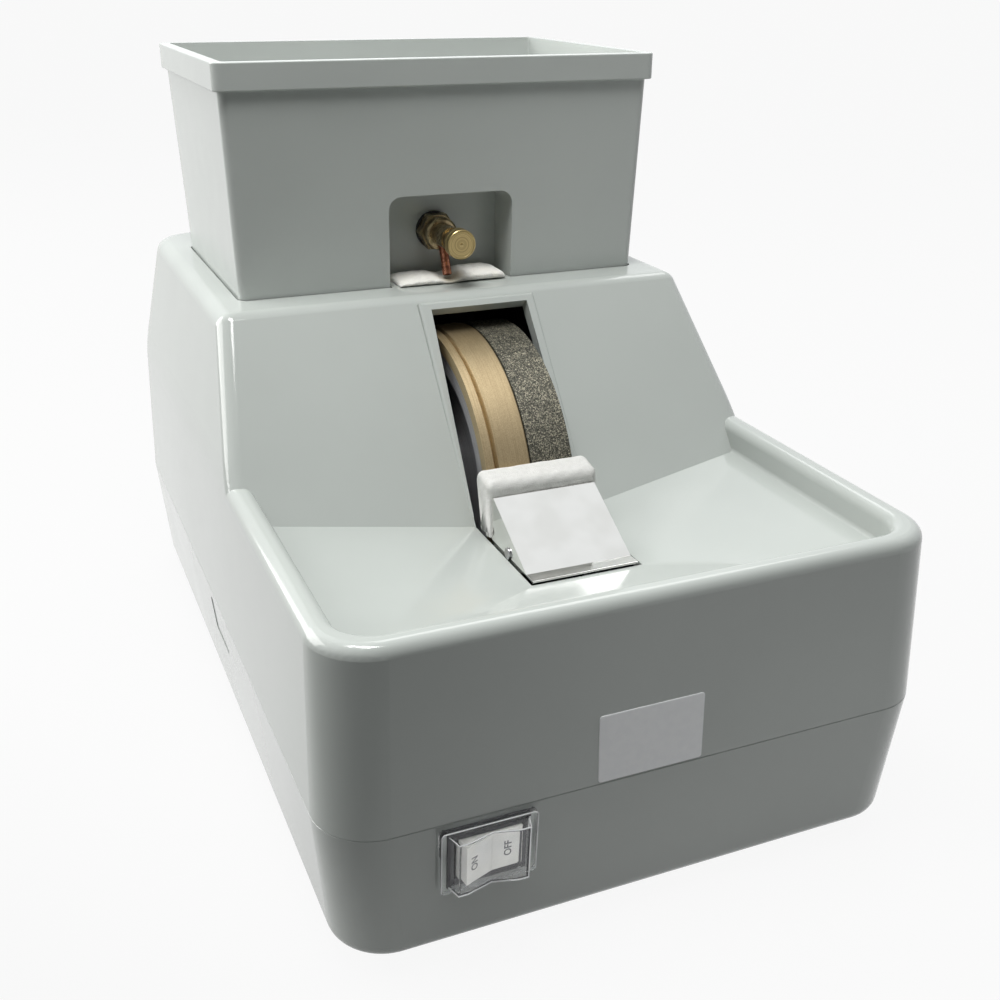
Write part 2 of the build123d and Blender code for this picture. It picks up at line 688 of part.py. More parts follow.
def upper_housing():
    rear = rear_form(0, 0)
    tops = edges_where(rear, lambda e: e.center().Z > BASE_H + CORNER_R and not (
        upright(e) and e.center().Y > BODY_D - 2 * CORNER_R) and (
        e.center().Z > DECK_H - TOP_EDGE_R or e.center().Y < RIDGE_Y))
    rear = fillet(tops, TOP_EDGE_R)
    front = front_form(0)
    rim = edges_where(front, lambda e: abs(e.bounding_box().min.Z - RIM_H) < PARTING_CHAMFER
                      and e.center().Y < SLOPE_FOOT_Y)
    front = fillet(rim, RIM_EDGE_R)
    outer = rear + front - basin_space()
    inner_rim = edges_where(outer, lambda e: abs(e.bounding_box().min.Z - RIM_H) < PARTING_CHAMFER
                            and abs(e.center().X) < HALF_W - RIM_T and e.center().Y < SLOPE_FOOT_Y
                            and e.bounding_box().max.Y < slope_y(RIM_H) + WALL)
    inner_rim = inner_rim.filter_by(lambda e: e.center().Y > RIM_INSET_Y + RIM_T - RIM_EDGE_R)
    outer = fillet(inner_rim, RIM_INNER_R)
    hollow = (rear_form(WALL, DECK_T) + front_form(WALL)) - basin_backing()
    shell = outer + lip_frame() - hollow
    shell -= window_prism()
    shell -= block(MOUTH_X0, SLOT_X1, MOUTH_Y0, slope_y(FLOOR_LOW_H, WALL),
                   FLOOR_LOW_H - 2 * WALL, FLOOR_LOW_H + WALL)
    shell -= tank_seat()
    shell -= rod_z(DRIP_HOLE_R, DECK_H - 2 * DECK_T, DECK_H + WALL, TAP_X, DRIP_HOLE_Y)
    for x, y in corner_places(POST_X, POST_FRONT_IN, POST_Y_BACK):
        top = FLOOR_EDGE_H - WALL / 2 if y < BODY_D / 2 else DECK_H - DECK_T / 2
        shell += rod_z(POST_R, BASE_H, top, x, y)
        shell -= rod_z(POST_SCREW_R, BASE_H, BASE_H + POST_SCREW_L, x, y)
    return shell


def base_form(inset):
    """The drafted box of the lower shell."""
    sides = along_y([
        (-HALF_W + BASE_DRAFT_X + inset, 0), (HALF_W - BASE_DRAFT_X - inset, 0),
        (HALF_W - inset, BASE_H), (-HALF_W + inset, BASE_H),
    ], -OVERRUN, BODY_D + OVERRUN)
    ends = along_x([
        (BASE_DRAFT_Y + inset, 0), (inset, BASE_H), (BODY_D - inset, BASE_H),
        (BODY_D - BASE_DRAFT_Y - inset, 0),
    ], -HALF_W, HALF_W)
    form = sides & ends
    return fillet(edges_where(form, upright), CORNER_R - inset)


def on_front(shape):
    """Place a shape drawn about the switch's centre, its Y square to the drafted front wall."""
    return Pos(SWITCH_X, SWITCH_WALL_Y, SWITCH_H) * Rot(degrees(LEAN), 0, 0) * shape


def latch_block(depth, grow):
    """A block let into the left wall of the lower shell."""
    wall_x = -HALF_W + BASE_DRAFT_X * (1 - (LATCH_H0 + LATCH_H1) / 2 / BASE_H)
    lean = degrees(atan2(BASE_DRAFT_X, BASE_H))
    half = (LATCH_H1 - LATCH_H0) / 2 + grow
    body = along_x([
        (LATCH_LOW_Y0 - grow, -half), (LATCH_LOW_Y0 + LATCH_LOW_L + grow, -half),
        (LATCH_TOP_Y0 + LATCH_TOP_L + grow, half), (LATCH_TOP_Y0 - grow, half)], 0, depth)
    corners = edges_where(body, lambda e: e.bounding_box().size.X > depth / 2)
    body = fillet(corners, LATCH_CORNER_R + grow)
    return Pos(wall_x, 0, (LATCH_H0 + LATCH_H1) / 2) * Rot(0, -lean, 0) * body


def bracket_screw_places():
    x0 = MOTOR_X0 + FOOT_HOLE_INSET + BOSS_R
    x1 = BRACKET_FOOT_X1 - FOOT_HOLE_INSET
    half = BRACKET_HEAD_R - FOOT_HOLE_INSET - BRACKET_RIB_T
    return [(x, WHEEL_Y + s * half) for x in (x0, x1) for s in (-1, 1)]


def chamber_leg_places():
    mid = (CHAMBER_X0 + CHAMBER_X1) / 2
    inset = CHAMBER_T + CHAMBER_LEG_INSET
    return [(mid, CHAMBER_FRONT_Y + inset), (mid, CHAMBER_BACK_Y - 3 * inset)]


def chamber_floor(y):
    """Height of the chamber floor's upper face, which falls towards the drain."""
    share = (y - CHAMBER_FRONT_Y) / (CHAMBER_BACK_Y - CHAMBER_FRONT_Y)
    return CHAMBER_FLOOR_FRONT + share * (CHAMBER_FLOOR_BACK - CHAMBER_FLOOR_FRONT)


def lower_base():
    outer = base_form(0)
    bottom = edges_where(outer, lambda e: e.bounding_box().max.Z < PARTING_CHAMFER)
    outer = fillet(bottom, BASE_EDGE_R)
    rim = edges_where(outer, lambda e: e.bounding_box().min.Z > BASE_H - PARTING_CHAMFER)
    outer = chamfer(rim, PARTING_CHAMFER)
    floor_cut = block(-HALF_W, HALF_W, -OVERRUN, BODY_D + OVERRUN, -OVERRUN, WALL)
    hollow = base_form(WALL) - floor_cut
    shell = outer - hollow
    lip_outer = base_form(WALL + SEAT_GAP)
    lip_inner = base_form(WALL + SEAT_GAP + TONGUE_T)
    top = lip_outer.faces().sort_by(Axis.Z)[-1]
    top_in = lip_inner.faces().sort_by(Axis.Z)[-1]
    below = TONGUE_UP + WALL
    shell += Pos(0, 0, -below) * extrude(top, amount=below + TONGUE_UP) - Pos(0, 0, -below) * extrude(
        top_in, amount=below + TONGUE_UP)
    for x, y in corner_places(POST_X, POST_FRONT_IN, POST_Y_BACK):
        shell += rod_z(POST_R, WALL / 2, BASE_H, x, y)
        shell -= rod_z(POST_BORE_R, -OVERRUN, POST_WELL_H, x, y)
        shell -= rod_z(POST_SCREW_R + SEAT_GAP, -OVERRUN, BASE_H + OVERRUN, x, y)
    for x, y in corner_places(FOOT_X, FOOT_FRONT_IN, FOOT_Y_BACK):
        shell += rod_z(BOSS_R, WALL / 2, FOOT_BOSS_H + WALL, x, y)
        shell -= rod_z(FOOT_SCREW_R, -OVERRUN, FOOT_BOSS_H, x, y)
    for x, y in bracket_screw_places():
        shell += rod_z(BOSS_R, WALL / 2, BRACKET_FOOT_H, x, y)
        shell -= rod_z(MOTOR_SCREW_R, WALL / 2, BRACKET_FOOT_H + WALL, x, y)
    for x, y in chamber_leg_places():
        shell += rod_z(BOSS_R, WALL / 2, BRACKET_FOOT_H, x, y)
    shell -= on_front(block(-SWITCH_W / 2 - SEAT_GAP, SWITCH_W / 2 + SEAT_GAP, -OVERRUN, SWITCH_D,
                            -SWITCH_TALL / 2 - SEAT_GAP, SWITCH_TALL / 2 + SEAT_GAP))
    shell -= latch_block(LATCH_SUNK + LATCH_T, LATCH_GAP)
    shell -= panel_space(SEAT_GAP)
    for x, z in panel_screw_places():
        shell -= on_back(x, z, rod_y(PANEL_SCREW_R + SEAT_GAP, -WALL, WALL, 0, 0))
    return shell


def on_back(x, z, shape):
    """Place a shape drawn about a point of the drafted back wall, its +Y square out of the wall."""
    return Pos(x, back_wall_y(z), z) * Rot(-degrees(LEAN), 0, 0) * shape


def panel_space(grow):
    """The rear panel's space: a plug through the back wall and a flange let in flush behind it."""
    edge = PANEL_FLANGE + grow
    y0 = BODY_D - CORNER_R
    y1 = BODY_D + OVERRUN
    plug = block(PANEL_X0 - grow, PANEL_X1 + grow, y0, y1, PANEL_Z0 - grow, PANEL_Z1 + grow)
    flange = block(PANEL_X0 - edge, PANEL_X1 + edge, y0, y1, PANEL_Z0 - edge, PANEL_Z1 + edge)
    return ((base_form(0) & plug) + (base_form(WALL / 2) & flange)) - base_form(WALL)


def panel_screw_places():
    inset = PANEL_FLANGE / 2
    sides = (PANEL_X0 - inset, PANEL_X1 + inset)
    heights = (PANEL_Z0 + inset, PANEL_Z1 - inset)
    return [(x, z) for x in sides for z in heights]


def rear_panel():
    """Plate in the back wall with the holes for the cord gland and the drain."""
    panel = panel_space(0)
    panel -= rod_y(DRAIN_R + SEAT_GAP, BODY_D - CORNER_R, BODY_D + OVERRUN, DRAIN_X, DRAIN_H)
    panel -= rod_y(GLAND_R + SEAT_GAP, BODY_D - CORNER_R, BODY_D + OVERRUN, GLAND_X, GLAND_H)
    for x, z in panel_screw_places():
        panel -= on_back(x, z, rod_y(PANEL_SCREW_R, -2 * WALL, WALL, 0, 0))
    return panel


def panel_screws():
    screw = rod_y(PANEL_SCREW_R, -WALL, 0, 0, 0) + rod_y(PANEL_SCREW_HEAD_R, 0, PANEL_SCREW_HEAD_H, 0, 0)
    screws = [on_back(x, z, screw) for x, z in panel_screw_places()]
    return Compound(screws)


def side_latch():
    """A tongue that fills most of the pocket and rests on its floor."""
    return latch_block(LATCH_SUNK + LATCH_T, 0) - latch_block(LATCH_SUNK, LATCH_GAP)


# Water tank and tap


def tank_loft(inset, foot_drop, top_rise):
    """The drafted body of the tank, drawn in by inset."""
    foot = tank_foot_plan(-inset, TANK_FOOT_H - foot_drop)
    half = BAND_HALF_W - BAND_PROUD - inset
    y0 = BAND_Y0 + BAND_PROUD + inset
    y1 = BAND_Y1 - BAND_PROUD - inset
    top = Pos(0, (y0 + y1) / 2, TANK_TOP_H + top_rise) * RectangleRounded(
        2 * half, y1 - y0, TANK_TOP_CORNER_R - inset)
    return loft([foot, top], ruled=True)


def tap_bay(grow):
    """The bay in the tank's front, open downwards, with rounded top corners."""
    top = TAP_BAY_TOP_H + grow
    bay = block(TAP_BAY_X0 - grow, TAP_BAY_X1 + grow, 0, TAP_BAY_BACK_Y + grow,
                TANK_FOOT_H - OVERRUN, top)
    corners = edges_where(bay, lambda e: e.bounding_box().size.Y > OVERRUN and e.center().Z > TANK_FOOT_H)
    return fillet(corners, TAP_BAY_R + grow)


def water_tank():
    body = tank_loft(0, 0, 0)
    band_plan = RectangleRounded(2 * BAND_HALF_W, BAND_Y1 - BAND_Y0, BAND_CORNER_R)
    band = extrude(Pos(0, (BAND_Y0 + BAND_Y1) / 2, TANK_TOP_H - TANK_BAND) * band_plan, amount=TANK_BAND)
    band = fillet(edges_where(band, lambda e: not upright(e)), BAND_SOFT)
    hollow = tank_loft(TANK_T, -TANK_T, TANK_T) - tap_bay(TANK_T)
    tank = body + band - tap_bay(0) - hollow
    tank -= rod_y(TAP_THREAD_R + SEAT_GAP, TAP_BAY_BACK_Y - WALL, TAP_BAY_BACK_Y + 2 * WALL, TAP_X, TAP_H)
    return tank


def tap_gasket():
    ring = rod_y(GASKET_R, TAP_GASKET_Y, TAP_BAY_BACK_Y, TAP_X, TAP_H)
    return ring - rod_y(TAP_THREAD_R, TAP_GASKET_Y - WALL, TAP_BAY_BACK_Y + WALL, TAP_X, TAP_H)


def tap_hex_nut():
    bar = Pos(TAP_X, TAP_NUT_Y, TAP_H) * hex_along("y", TAP_NUT_AF, TAP_NUT_T)
    cone = turned_y([
        (TAP_NUT_Y, 0), (TAP_NUT_Y, TAP_NUT_AF / 2),
        (TAP_NUT_Y + TAP_NUT_T / 3, TAP_NUT_AF / 2 + END_CHAMFER * 2),
        (TAP_GASKET_Y, TAP_NUT_AF / 2 + END_CHAMFER * 2), (TAP_GASKET_Y, 0)], TAP_X, TAP_H)
    return (bar & cone) - rod_y(TAP_THREAD_R, TAP_NUT_Y - WALL, TAP_GASKET_Y + WALL, TAP_X, TAP_H)


def tap_body():
    body = turned_y([
        (TAP_MOUTH_Y, 0), (TAP_MOUTH_Y, TAP_NECK_R), (TAP_BARREL_Y, TAP_NECK_R),
        (TAP_BARREL_Y, TAP_BARREL_R), (TAP_COLLAR_Y, TAP_BARREL_R), (TAP_COLLAR_Y, TAP_COLLAR_R),
        (TAP_NUT_Y, TAP_COLLAR_R), (TAP_NUT_Y, TAP_THREAD_R),
        (TAP_BAY_BACK_Y + TAP_IN, TAP_THREAD_R), (TAP_BAY_BACK_Y + TAP_IN, 0),
    ], TAP_X, TAP_H)
    rims = edges_where(body, lambda e: e.geom_type == GeomType.CIRCLE and
                       abs(e.center().Y - TAP_COLLAR_Y) < GASKET_T and e.radius > TAP_BARREL_R + KNOB_GAP)
    body = chamfer(rims, END_CHAMFER)
    body -= rod_y(KNOB_STEM_R + RUN_GAP, TAP_MOUTH_Y - WALL, TAP_MOUTH_Y + KNOB_STEM_L, TAP_X, TAP_H)
    water = rod_y(WATER_WAY_R, TAP_COLLAR_Y, TAP_BAY_BACK_Y + TAP_IN + WALL, TAP_X, TAP_H)
    return body - water - spout_rod(SPOUT_R, 0)


def spout_rod(radius, past):
    """A rod from the tap's axis down to just over the sponge, leaning forwards as it goes."""
    drop = TAP_RISE - SPONGE_VALLEY_H - SPOUT_CLEAR
    length = drop / cos(radians(SPOUT_LEAN)) + past
    rod = Pos(0, 0, -length / 2) * Cylinder(radius, length)
    return Pos(TAP_X, TAP_COLLAR_Y + SPOUT_START, TAP_H) * Rot(-SPOUT_LEAN, 0, 0) * rod


def tap_spout():
    tube = spout_rod(SPOUT_R, 0) - spout_rod(SPOUT_R - SPOUT_T, WALL)
    return tube - rod_y(TAP_BARREL_R - SPOUT_T, TAP_MOUTH_Y, TAP_NUT_Y, TAP_X, TAP_H)


def tap_back_nut():
    y0 = TAP_BAY_BACK_Y + TANK_T
    bar = Pos(TAP_X, y0, TAP_H) * hex_along("y", BACK_NUT_AF, BACK_NUT_T)
    return bar - rod_y(TAP_THREAD_R, y0 - WALL, y0 + BACK_NUT_T + WALL, TAP_X, TAP_H)


def tap_knob():
    y1 = TAP_MOUTH_Y - KNOB_GAP
    y0 = y1 - KNOB_L
    knob = turned_y([
        (y0, 0), (y0, KNOB_R), (y1, KNOB_R), (y1, KNOB_STEM_R),
        (TAP_MOUTH_Y + KNOB_STEM_L - KNOB_GAP, KNOB_STEM_R),
        (TAP_MOUTH_Y + KNOB_STEM_L - KNOB_GAP, 0)], TAP_X, TAP_H)
    rims = edges_where(knob, lambda e: e.geom_type == GeomType.CIRCLE and e.radius > KNOB_R - KNOB_RING_DEEP)
    knob = chamfer(rims, KNOB_RING_DEEP)
    for step in (1, 2):
        y = y0 + KNOB_L * step / 3
        ring = rod_y(KNOB_R + WALL, y - KNOB_RING_W / 2, y + KNOB_RING_W / 2, TAP_X, TAP_H)
        knob -= ring - rod_y(KNOB_R - KNOB_RING_DEEP, y - WALL, y + WALL, TAP_X, TAP_H)
    return knob


def drip_sponge():
    """Two soft lobes with a valley under the spout."""
    low = DECK_H
    left_mid = (SPONGE_X0 + TAP_X) / 2
    right_mid = (SPONGE_X1 + TAP_X) / 2
    crown = Spline(
        (SPONGE_X0, SPONGE_Y0, low + SPONGE_EDGE_H), (left_mid, SPONGE_Y0, low + SPONGE_H),
        (TAP_X, SPONGE_Y0, low + SPONGE_VALLEY_H), (right_mid, SPONGE_Y0, low + SPONGE_H),
        (SPONGE_X1, SPONGE_Y0, low + SPONGE_EDGE_H))
    rest = Polyline(crown @ 1, (SPONGE_X1, SPONGE_Y0, low), (SPONGE_X0, SPONGE_Y0, low), crown @ 0)
    body = extrude(make_face(crown + rest), amount=SPONGE_Y1 - SPONGE_Y0, dir=(0, 1, 0))
    ends = edges_where(body, lambda e: upright(e))
    return fillet(ends, SPONGE_EDGE_H)


# Wheels on their shaft


def wheel_ring(x0, width):
    ring = rod_x(WHEEL_R, x0, x0 + width)
    return ring - rod_x(WHEEL_R - RIM_RING_T, x0 - WALL, x0 + width + WALL)


def bevel_wheel_rim():
    ring = wheel_ring(BEVEL_X0, BEVEL_W)
    mid = BEVEL_X0 + GROOVE_FROM_EDGE
    half = GROOVE_W / 2
    groove = turned_x([
        (mid - half, WHEEL_R + GROOVE_LAND), (mid, WHEEL_R - GROOVE_DEEP),
        (mid + half, WHEEL_R + GROOVE_LAND)])
    return ring - groove


def coarse_wheel_rim():
    return wheel_ring(COARSE_X0, COARSE_W)


def wheel_core(x0, width):
    """A turned disc: full width at hub and rim, with a thinner web between."""
    x1 = x0 + width
    web0 = x0 + (width - CORE_WEB_T) / 2
    web1 = web0 + CORE_WEB_T
    rim_in = WHEEL_R - RIM_RING_T - CORE_RIM_T
    rim_out = WHEEL_R - RIM_RING_T
    return turned_x([
        (x0, WHEEL_BORE_R), (x0, CORE_HUB_R), (web0, CORE_HUB_R), (web0, rim_in),
        (x0 + END_CHAMFER, rim_in), (x0 + END_CHAMFER, rim_out), (x1 - END_CHAMFER, rim_out),
        (x1 - END_CHAMFER, rim_in), (web1, rim_in), (web1, CORE_HUB_R), (x1, CORE_HUB_R),
        (x1, WHEEL_BORE_R)])


def bevel_wheel_core():
    return wheel_core(BEVEL_X0, BEVEL_W + WHEEL_SEAM)


def coarse_wheel_core():
    return wheel_core(COARSE_X0, COARSE_W)


def outer_flange():
    x1 = BEVEL_X0
    x0 = x1 - OUTER_FLANGE_T
    return turned_x([
        (x0, WHEEL_BORE_R), (x0, FLANGE_BOSS_R), (x0 + OUTER_FLANGE_T / 2, FLANGE_R - FLANGE_CONE),
        (x1, FLANGE_R), (x1, FLANGE_R - FLANGE_FACE_W), (x1 - FLANGE_RELIEF, FLANGE_R - FLANGE_FACE_W),
        (x1 - FLANGE_RELIEF, CORE_HUB_R - WALL), (x1, CORE_HUB_R - WALL), (x1, WHEEL_BORE_R)])


def inner_flange():
    x0 = PACK_X1
    x1 = x0 + INNER_FLANGE_T
    return turned_x([
        (x0, WHEEL_BORE_R), (x0, CORE_HUB_R - WALL), (x0 + FLANGE_RELIEF, CORE_HUB_R - WALL),
        (x0 + FLANGE_RELIEF, FLANGE_R - FLANGE_FACE_W), (x0, FLANGE_R - FLANGE_FACE_W), (x0, FLANGE_R),
        (x1, FLANGE_R - END_CHAMFER), (x1, WHEEL_BORE_R)])


def wheel_nut():
    bar = Pos(NUT_X0, WHEEL_Y, WHEEL_Z) * hex_along("x", NUT_AF, NUT_T)
    return bar - rod_x(THREAD_R, NUT_X0 - WALL, NUT_X1 + WALL)


def motor_shaft():
    x_flange = PACK_X1 + INNER_FLANGE_T
    return turned_x([
        (NUT_X0 - THREAD_END, 0), (NUT_X0 - THREAD_END, THREAD_R - END_CHAMFER),
        (NUT_X0 - THREAD_END + END_CHAMFER, THREAD_R), (NUT_X1, THREAD_R), (NUT_X1, WHEEL_BORE_R),
        (x_flange, WHEEL_BORE_R), (x_flange, JOURNAL_R), (FRONT_BEARING_X1 + SEAT_GAP, JOURNAL_R),
        (FRONT_BEARING_X1 + SEAT_GAP, ROTOR_SEAT_R), (ROTOR_X1, ROTOR_SEAT_R), (ROTOR_X1, REAR_JOURNAL_R),
        (REAR_BEARING_X1 - END_CHAMFER, REAR_JOURNAL_R), (REAR_BEARING_X1 - END_CHAMFER, 0)])


def bearing(x0, x1, bore, outside):
    """A ring with the shallow groove that shows between its two races on each face."""
    race = (outside - bore) / 3
    ring = turned_x([(x0, bore), (x0, outside), (x1, outside), (x1, bore)])
    for face, way in ((x0, 1), (x1, -1)):
        ring -= turned_x([
            (face - way * WALL, bore + race), (face - way * WALL, outside - race),
            (face + way * BEARING_GROOVE, outside - race), (face + way * BEARING_GROOVE, bore + race)])
    return ring


def front_bearing():
    return bearing(FRONT_BEARING_X0, FRONT_BEARING_X1, JOURNAL_R + RUN_GAP, FRONT_BEARING_R)


def rear_bearing():
    return bearing(REAR_BEARING_X0, REAR_BEARING_X1, REAR_JOURNAL_R + RUN_GAP, REAR_BEARING_R)


def rotor():
    body = turned_x([
        (ROTOR_X0, ROTOR_SEAT_R), (ROTOR_X0, ROTOR_R), (ROTOR_X1, ROTOR_R), (ROTOR_X1, ROTOR_SEAT_R)])
    near = ROTOR_SEAT_R + (ROTOR_R - ROTOR_SEAT_R) / 3
    far = ROTOR_R - (ROTOR_R - ROTOR_SEAT_R) / 4
    for face, way in ((ROTOR_X0, 1), (ROTOR_X1, -1)):
        out = face - way * WALL
        deep = face + way * ROTOR_RELIEF
        body -= turned_x([(out, near), (out, far), (deep, far), (deep, near)])
    return body


def stator():
    bore = ROTOR_R + ROTOR_GAP
    out = MOTOR_R - MOTOR_SHELL_T
    near = bore + WINDING_INSET
    far = out - WINDING_INSET
    x0 = ROTOR_X0 - STATOR_OVER
    x1 = ROTOR_X1 + STATOR_OVER
    return turned_x([
        (x0, bore), (x0, near), (x0 - WINDING_OUT, near), (x0 - WINDING_OUT, far), (x0, far), (x0, out),
        (x1, out), (x1, far), (x1 + WINDING_OUT, far), (x1 + WINDING_OUT, near), (x1, near), (x1, bore)])


def motor_shell():
    x0 = MOTOR_X0 + CAP_D
    x1 = MOTOR_X1 - CAP_D
    tube = rod_x(MOTOR_R, x0, x1)
    rib = block(x0, x1, WHEEL_Y - COOL_RIB_W / 2, WHEEL_Y + COOL_RIB_W / 2,
                WHEEL_Z + MOTOR_R - MOTOR_SHELL_T, WHEEL_Z + MOTOR_R + COOL_RIB_H)
    axis = Axis((0, WHEEL_Y, WHEEL_Z), (1, 0, 0))
    for number in range(COOL_RIBS):
        tube += rib.rotate(axis, number * 360 / COOL_RIBS)
    return tube - rod_x(MOTOR_R - MOTOR_SHELL_T, x0 - WALL, x1 + WALL)


def motor_screw_places():
    axis = Axis((0, WHEEL_Y, WHEEL_Z), (1, 0, 0))
    return [(axis, SCREW_FIRST_ANGLE + n * 360 / MOTOR_SCREW_COUNT) for n in range(MOTOR_SCREW_COUNT)]


def motor_front_cap():
    x0 = MOTOR_X0
    inner = MOTOR_R - MOTOR_SHELL_T
    hub = FRONT_BEARING_R + CAP_HUB_T
    cap = turned_x([
        (x0, FRONT_HOLE_R), (x0, MOTOR_R), (x0 + CAP_D, MOTOR_R), (x0 + CAP_D, inner),
        (x0 + CAP_WEB, inner), (x0 + CAP_WEB, hub), (FRONT_BEARING_X1, hub),
        (FRONT_BEARING_X1, FRONT_BEARING_R), (FRONT_BEARING_X0, FRONT_BEARING_R),
        (FRONT_BEARING_X0, FRONT_HOLE_R)])
    hole = rod_x(MOTOR_SCREW_R, x0 - WALL, x0 + CAP_WEB + WALL, WHEEL_Y, WHEEL_Z + SCREW_RING_R)
    for axis, turn in motor_screw_places():
        cap -= hole.rotate(axis, turn)
    return cap


def motor_rear_cap():
    x1 = MOTOR_X1
    inner = MOTOR_R - MOTOR_SHELL_T
    hub = REAR_BEARING_R + CAP_HUB_T
    return turned_x([
        (x1, 0), (x1, MOTOR_R - CAP_EDGE), (x1 - CAP_EDGE, MOTOR_R), (x1 - CAP_D, MOTOR_R),
        (x1 - CAP_D, inner), (x1 - CAP_WEB, inner), (x1 - CAP_WEB, hub), (REAR_BEARING_X0, hub),
        (REAR_BEARING_X0, REAR_BEARING_R), (REAR_BEARING_X1, REAR_BEARING_R), (REAR_BEARING_X1, 0)])


def motor_bracket():
    """A bent plate with its head bolted to the motor's face, and two gusset ribs."""
    x0 = MOTOR_X0 - BRACKET_T
    x1 = MOTOR_X0
    y0 = WHEEL_Y - BRACKET_HEAD_R
    y1 = WHEEL_Y + BRACKET_HEAD_R
    z0 = BRACKET_FOOT_H
    z1 = z0 + BRACKET_T
    rib_top = WHEEL_Z - BRACKET_RIB_DROP
    plate = block(x0, x1, y0, y1, z0, WHEEL_Z) + rod_x(BRACKET_HEAD_R, x0, x1)
    plate += block(x0, BRACKET_FOOT_X1, y0, y1, z0, z1)
    for edge, way in ((y0, 1), (y1, -1)):
        near, far = sorted((edge, edge + way * BRACKET_RIB_T))
        outline = Polyline((x1 - WALL / 2, near, z0), (BRACKET_RIB_X1, near, z0), (BRACKET_RIB_X1, near, z1),
                           (x1, near, rib_top), (x1 - WALL / 2, near, rib_top), close=True)
        plate += extrude(make_face(outline), amount=far - near, dir=(0, 1, 0))
    plate -= rod_x(BRACKET_HOLE_R, x0 - WALL, x1 + WALL)
    hole = rod_x(MOTOR_SCREW_R, x0 - WALL, x1 + WALL, WHEEL_Y, WHEEL_Z + SCREW_RING_R)
    for axis, turn in motor_screw_places():
        plate -= hole.rotate(axis, turn)
    for x, y in bracket_screw_places():
        plate -= rod_z(MOTOR_SCREW_R, z0 - WALL, z1 + WALL, x, y)
    return plate


def motor_screws():
    x0 = MOTOR_X0 - BRACKET_T
    z = WHEEL_Z + SCREW_RING_R
    screw = rod_x(MOTOR_SCREW_R, x0, x0 + MOTOR_SCREW_L, WHEEL_Y, z)
    screw += rod_x(MOTOR_SCREW_HEAD_R, x0 - MOTOR_SCREW_HEAD_H, x0, WHEEL_Y, z)
    return Compound([screw.rotate(axis, turn) for axis, turn in motor_screw_places()])


def bracket_screws():
    top = BRACKET_FOOT_H + BRACKET_T
    return Compound([
        rod_z(MOTOR_SCREW_R, top - BRACKET_SCREW_L, top, x, y)
        + rod_z(MOTOR_SCREW_HEAD_R, top, top + MOTOR_SCREW_HEAD_H, x, y)
        for x, y in bracket_screw_places()])


# Splash chamber, seal and drain


def splash_chamber():
    top = DECK_H - DECK_T - SEAT_GAP
    floor_top = FLOOR_LOW_H - WALL - SEAT_GAP
    clear = WALL + SEAT_GAP
    t = CHAMBER_T
    outer = along_x([
        (CHAMBER_FRONT_Y, chamber_floor(CHAMBER_FRONT_Y) - t), (CHAMBER_FRONT_Y, floor_top),
        (slope_y(floor_top, clear), floor_top), (slope_y(top, clear), top), (CHAMBER_BACK_Y, top),
        (CHAMBER_BACK_Y, chamber_floor(CHAMBER_BACK_Y) - t)], CHAMBER_X0, CHAMBER_X1)
    y0 = CHAMBER_FRONT_Y + t
    y1 = CHAMBER_BACK_Y - t
    inner = along_x([
        (y0, chamber_floor(y0)), (y0, top + OVERRUN), (y1, top + OVERRUN), (y1, chamber_floor(y1))],
        CHAMBER_X0 + t, CHAMBER_X1 - t)
    tub = outer - inner
    for x, y in chamber_leg_places():
        tub += rod_z(CHAMBER_LEG_R, BRACKET_FOOT_H, chamber_floor(y) - t / 2, x, y)
    tub -= rod_x(SEAL_R, CHAMBER_X1 - 2 * t, CHAMBER_X1 + t)
    tub -= rod_y(DRAIN_R, y1 - t, CHAMBER_BACK_Y + t, DRAIN_X, DRAIN_H)
    return tub


def shaft_seal():
    x1 = CHAMBER_X1 + SEAL_FLANGE_T
    x0 = x1 - SEAL_T
    return turned_x([
        (x0, JOURNAL_R + RUN_GAP), (x0, SEAL_R - END_CHAMFER), (x0 + END_CHAMFER, SEAL_R),
        (CHAMBER_X1, SEAL_R), (CHAMBER_X1, SEAL_FLANGE_R), (x1, SEAL_FLANGE_R), (x1, JOURNAL_R + RUN_GAP)])


def drain_spigot():
    """A flanged tube from the chamber out through the back wall, with a hose tail."""
    y0 = CHAMBER_BACK_Y - CHAMBER_T
    y1 = BODY_D + DRAIN_OUT
    tube = turned_y([
        (y0, DRAIN_BORE_R), (y0, DRAIN_R), (CHAMBER_BACK_Y, DRAIN_R), (CHAMBER_BACK_Y, DRAIN_FLANGE_R),
        (CHAMBER_BACK_Y + DRAIN_FLANGE_T, DRAIN_FLANGE_R), (CHAMBER_BACK_Y + DRAIN_FLANGE_T, DRAIN_R),
        (y1 - DRAIN_TAIL_L, DRAIN_R), (y1 - DRAIN_TAIL_L, DRAIN_TAIL_R), (y1 - DRAIN_TIP, DRAIN_TAIL_R),
        (y1, DRAIN_BORE_R + DRAIN_TIP / 4), (y1, DRAIN_BORE_R)], DRAIN_X, DRAIN_H)
    return tube


def drain_nut():
    y1 = back_wall_y(DRAIN_H - DRAIN_NUT_AF / 2) - WALL
    y0 = y1 - DRAIN_NUT_T
    bar = Pos(DRAIN_X, y0, DRAIN_H) * hex_along("y", DRAIN_NUT_AF, DRAIN_NUT_T)
    return bar - rod_y(DRAIN_R, y0 - WALL, y1 + WALL, DRAIN_X, DRAIN_H)


# Guard


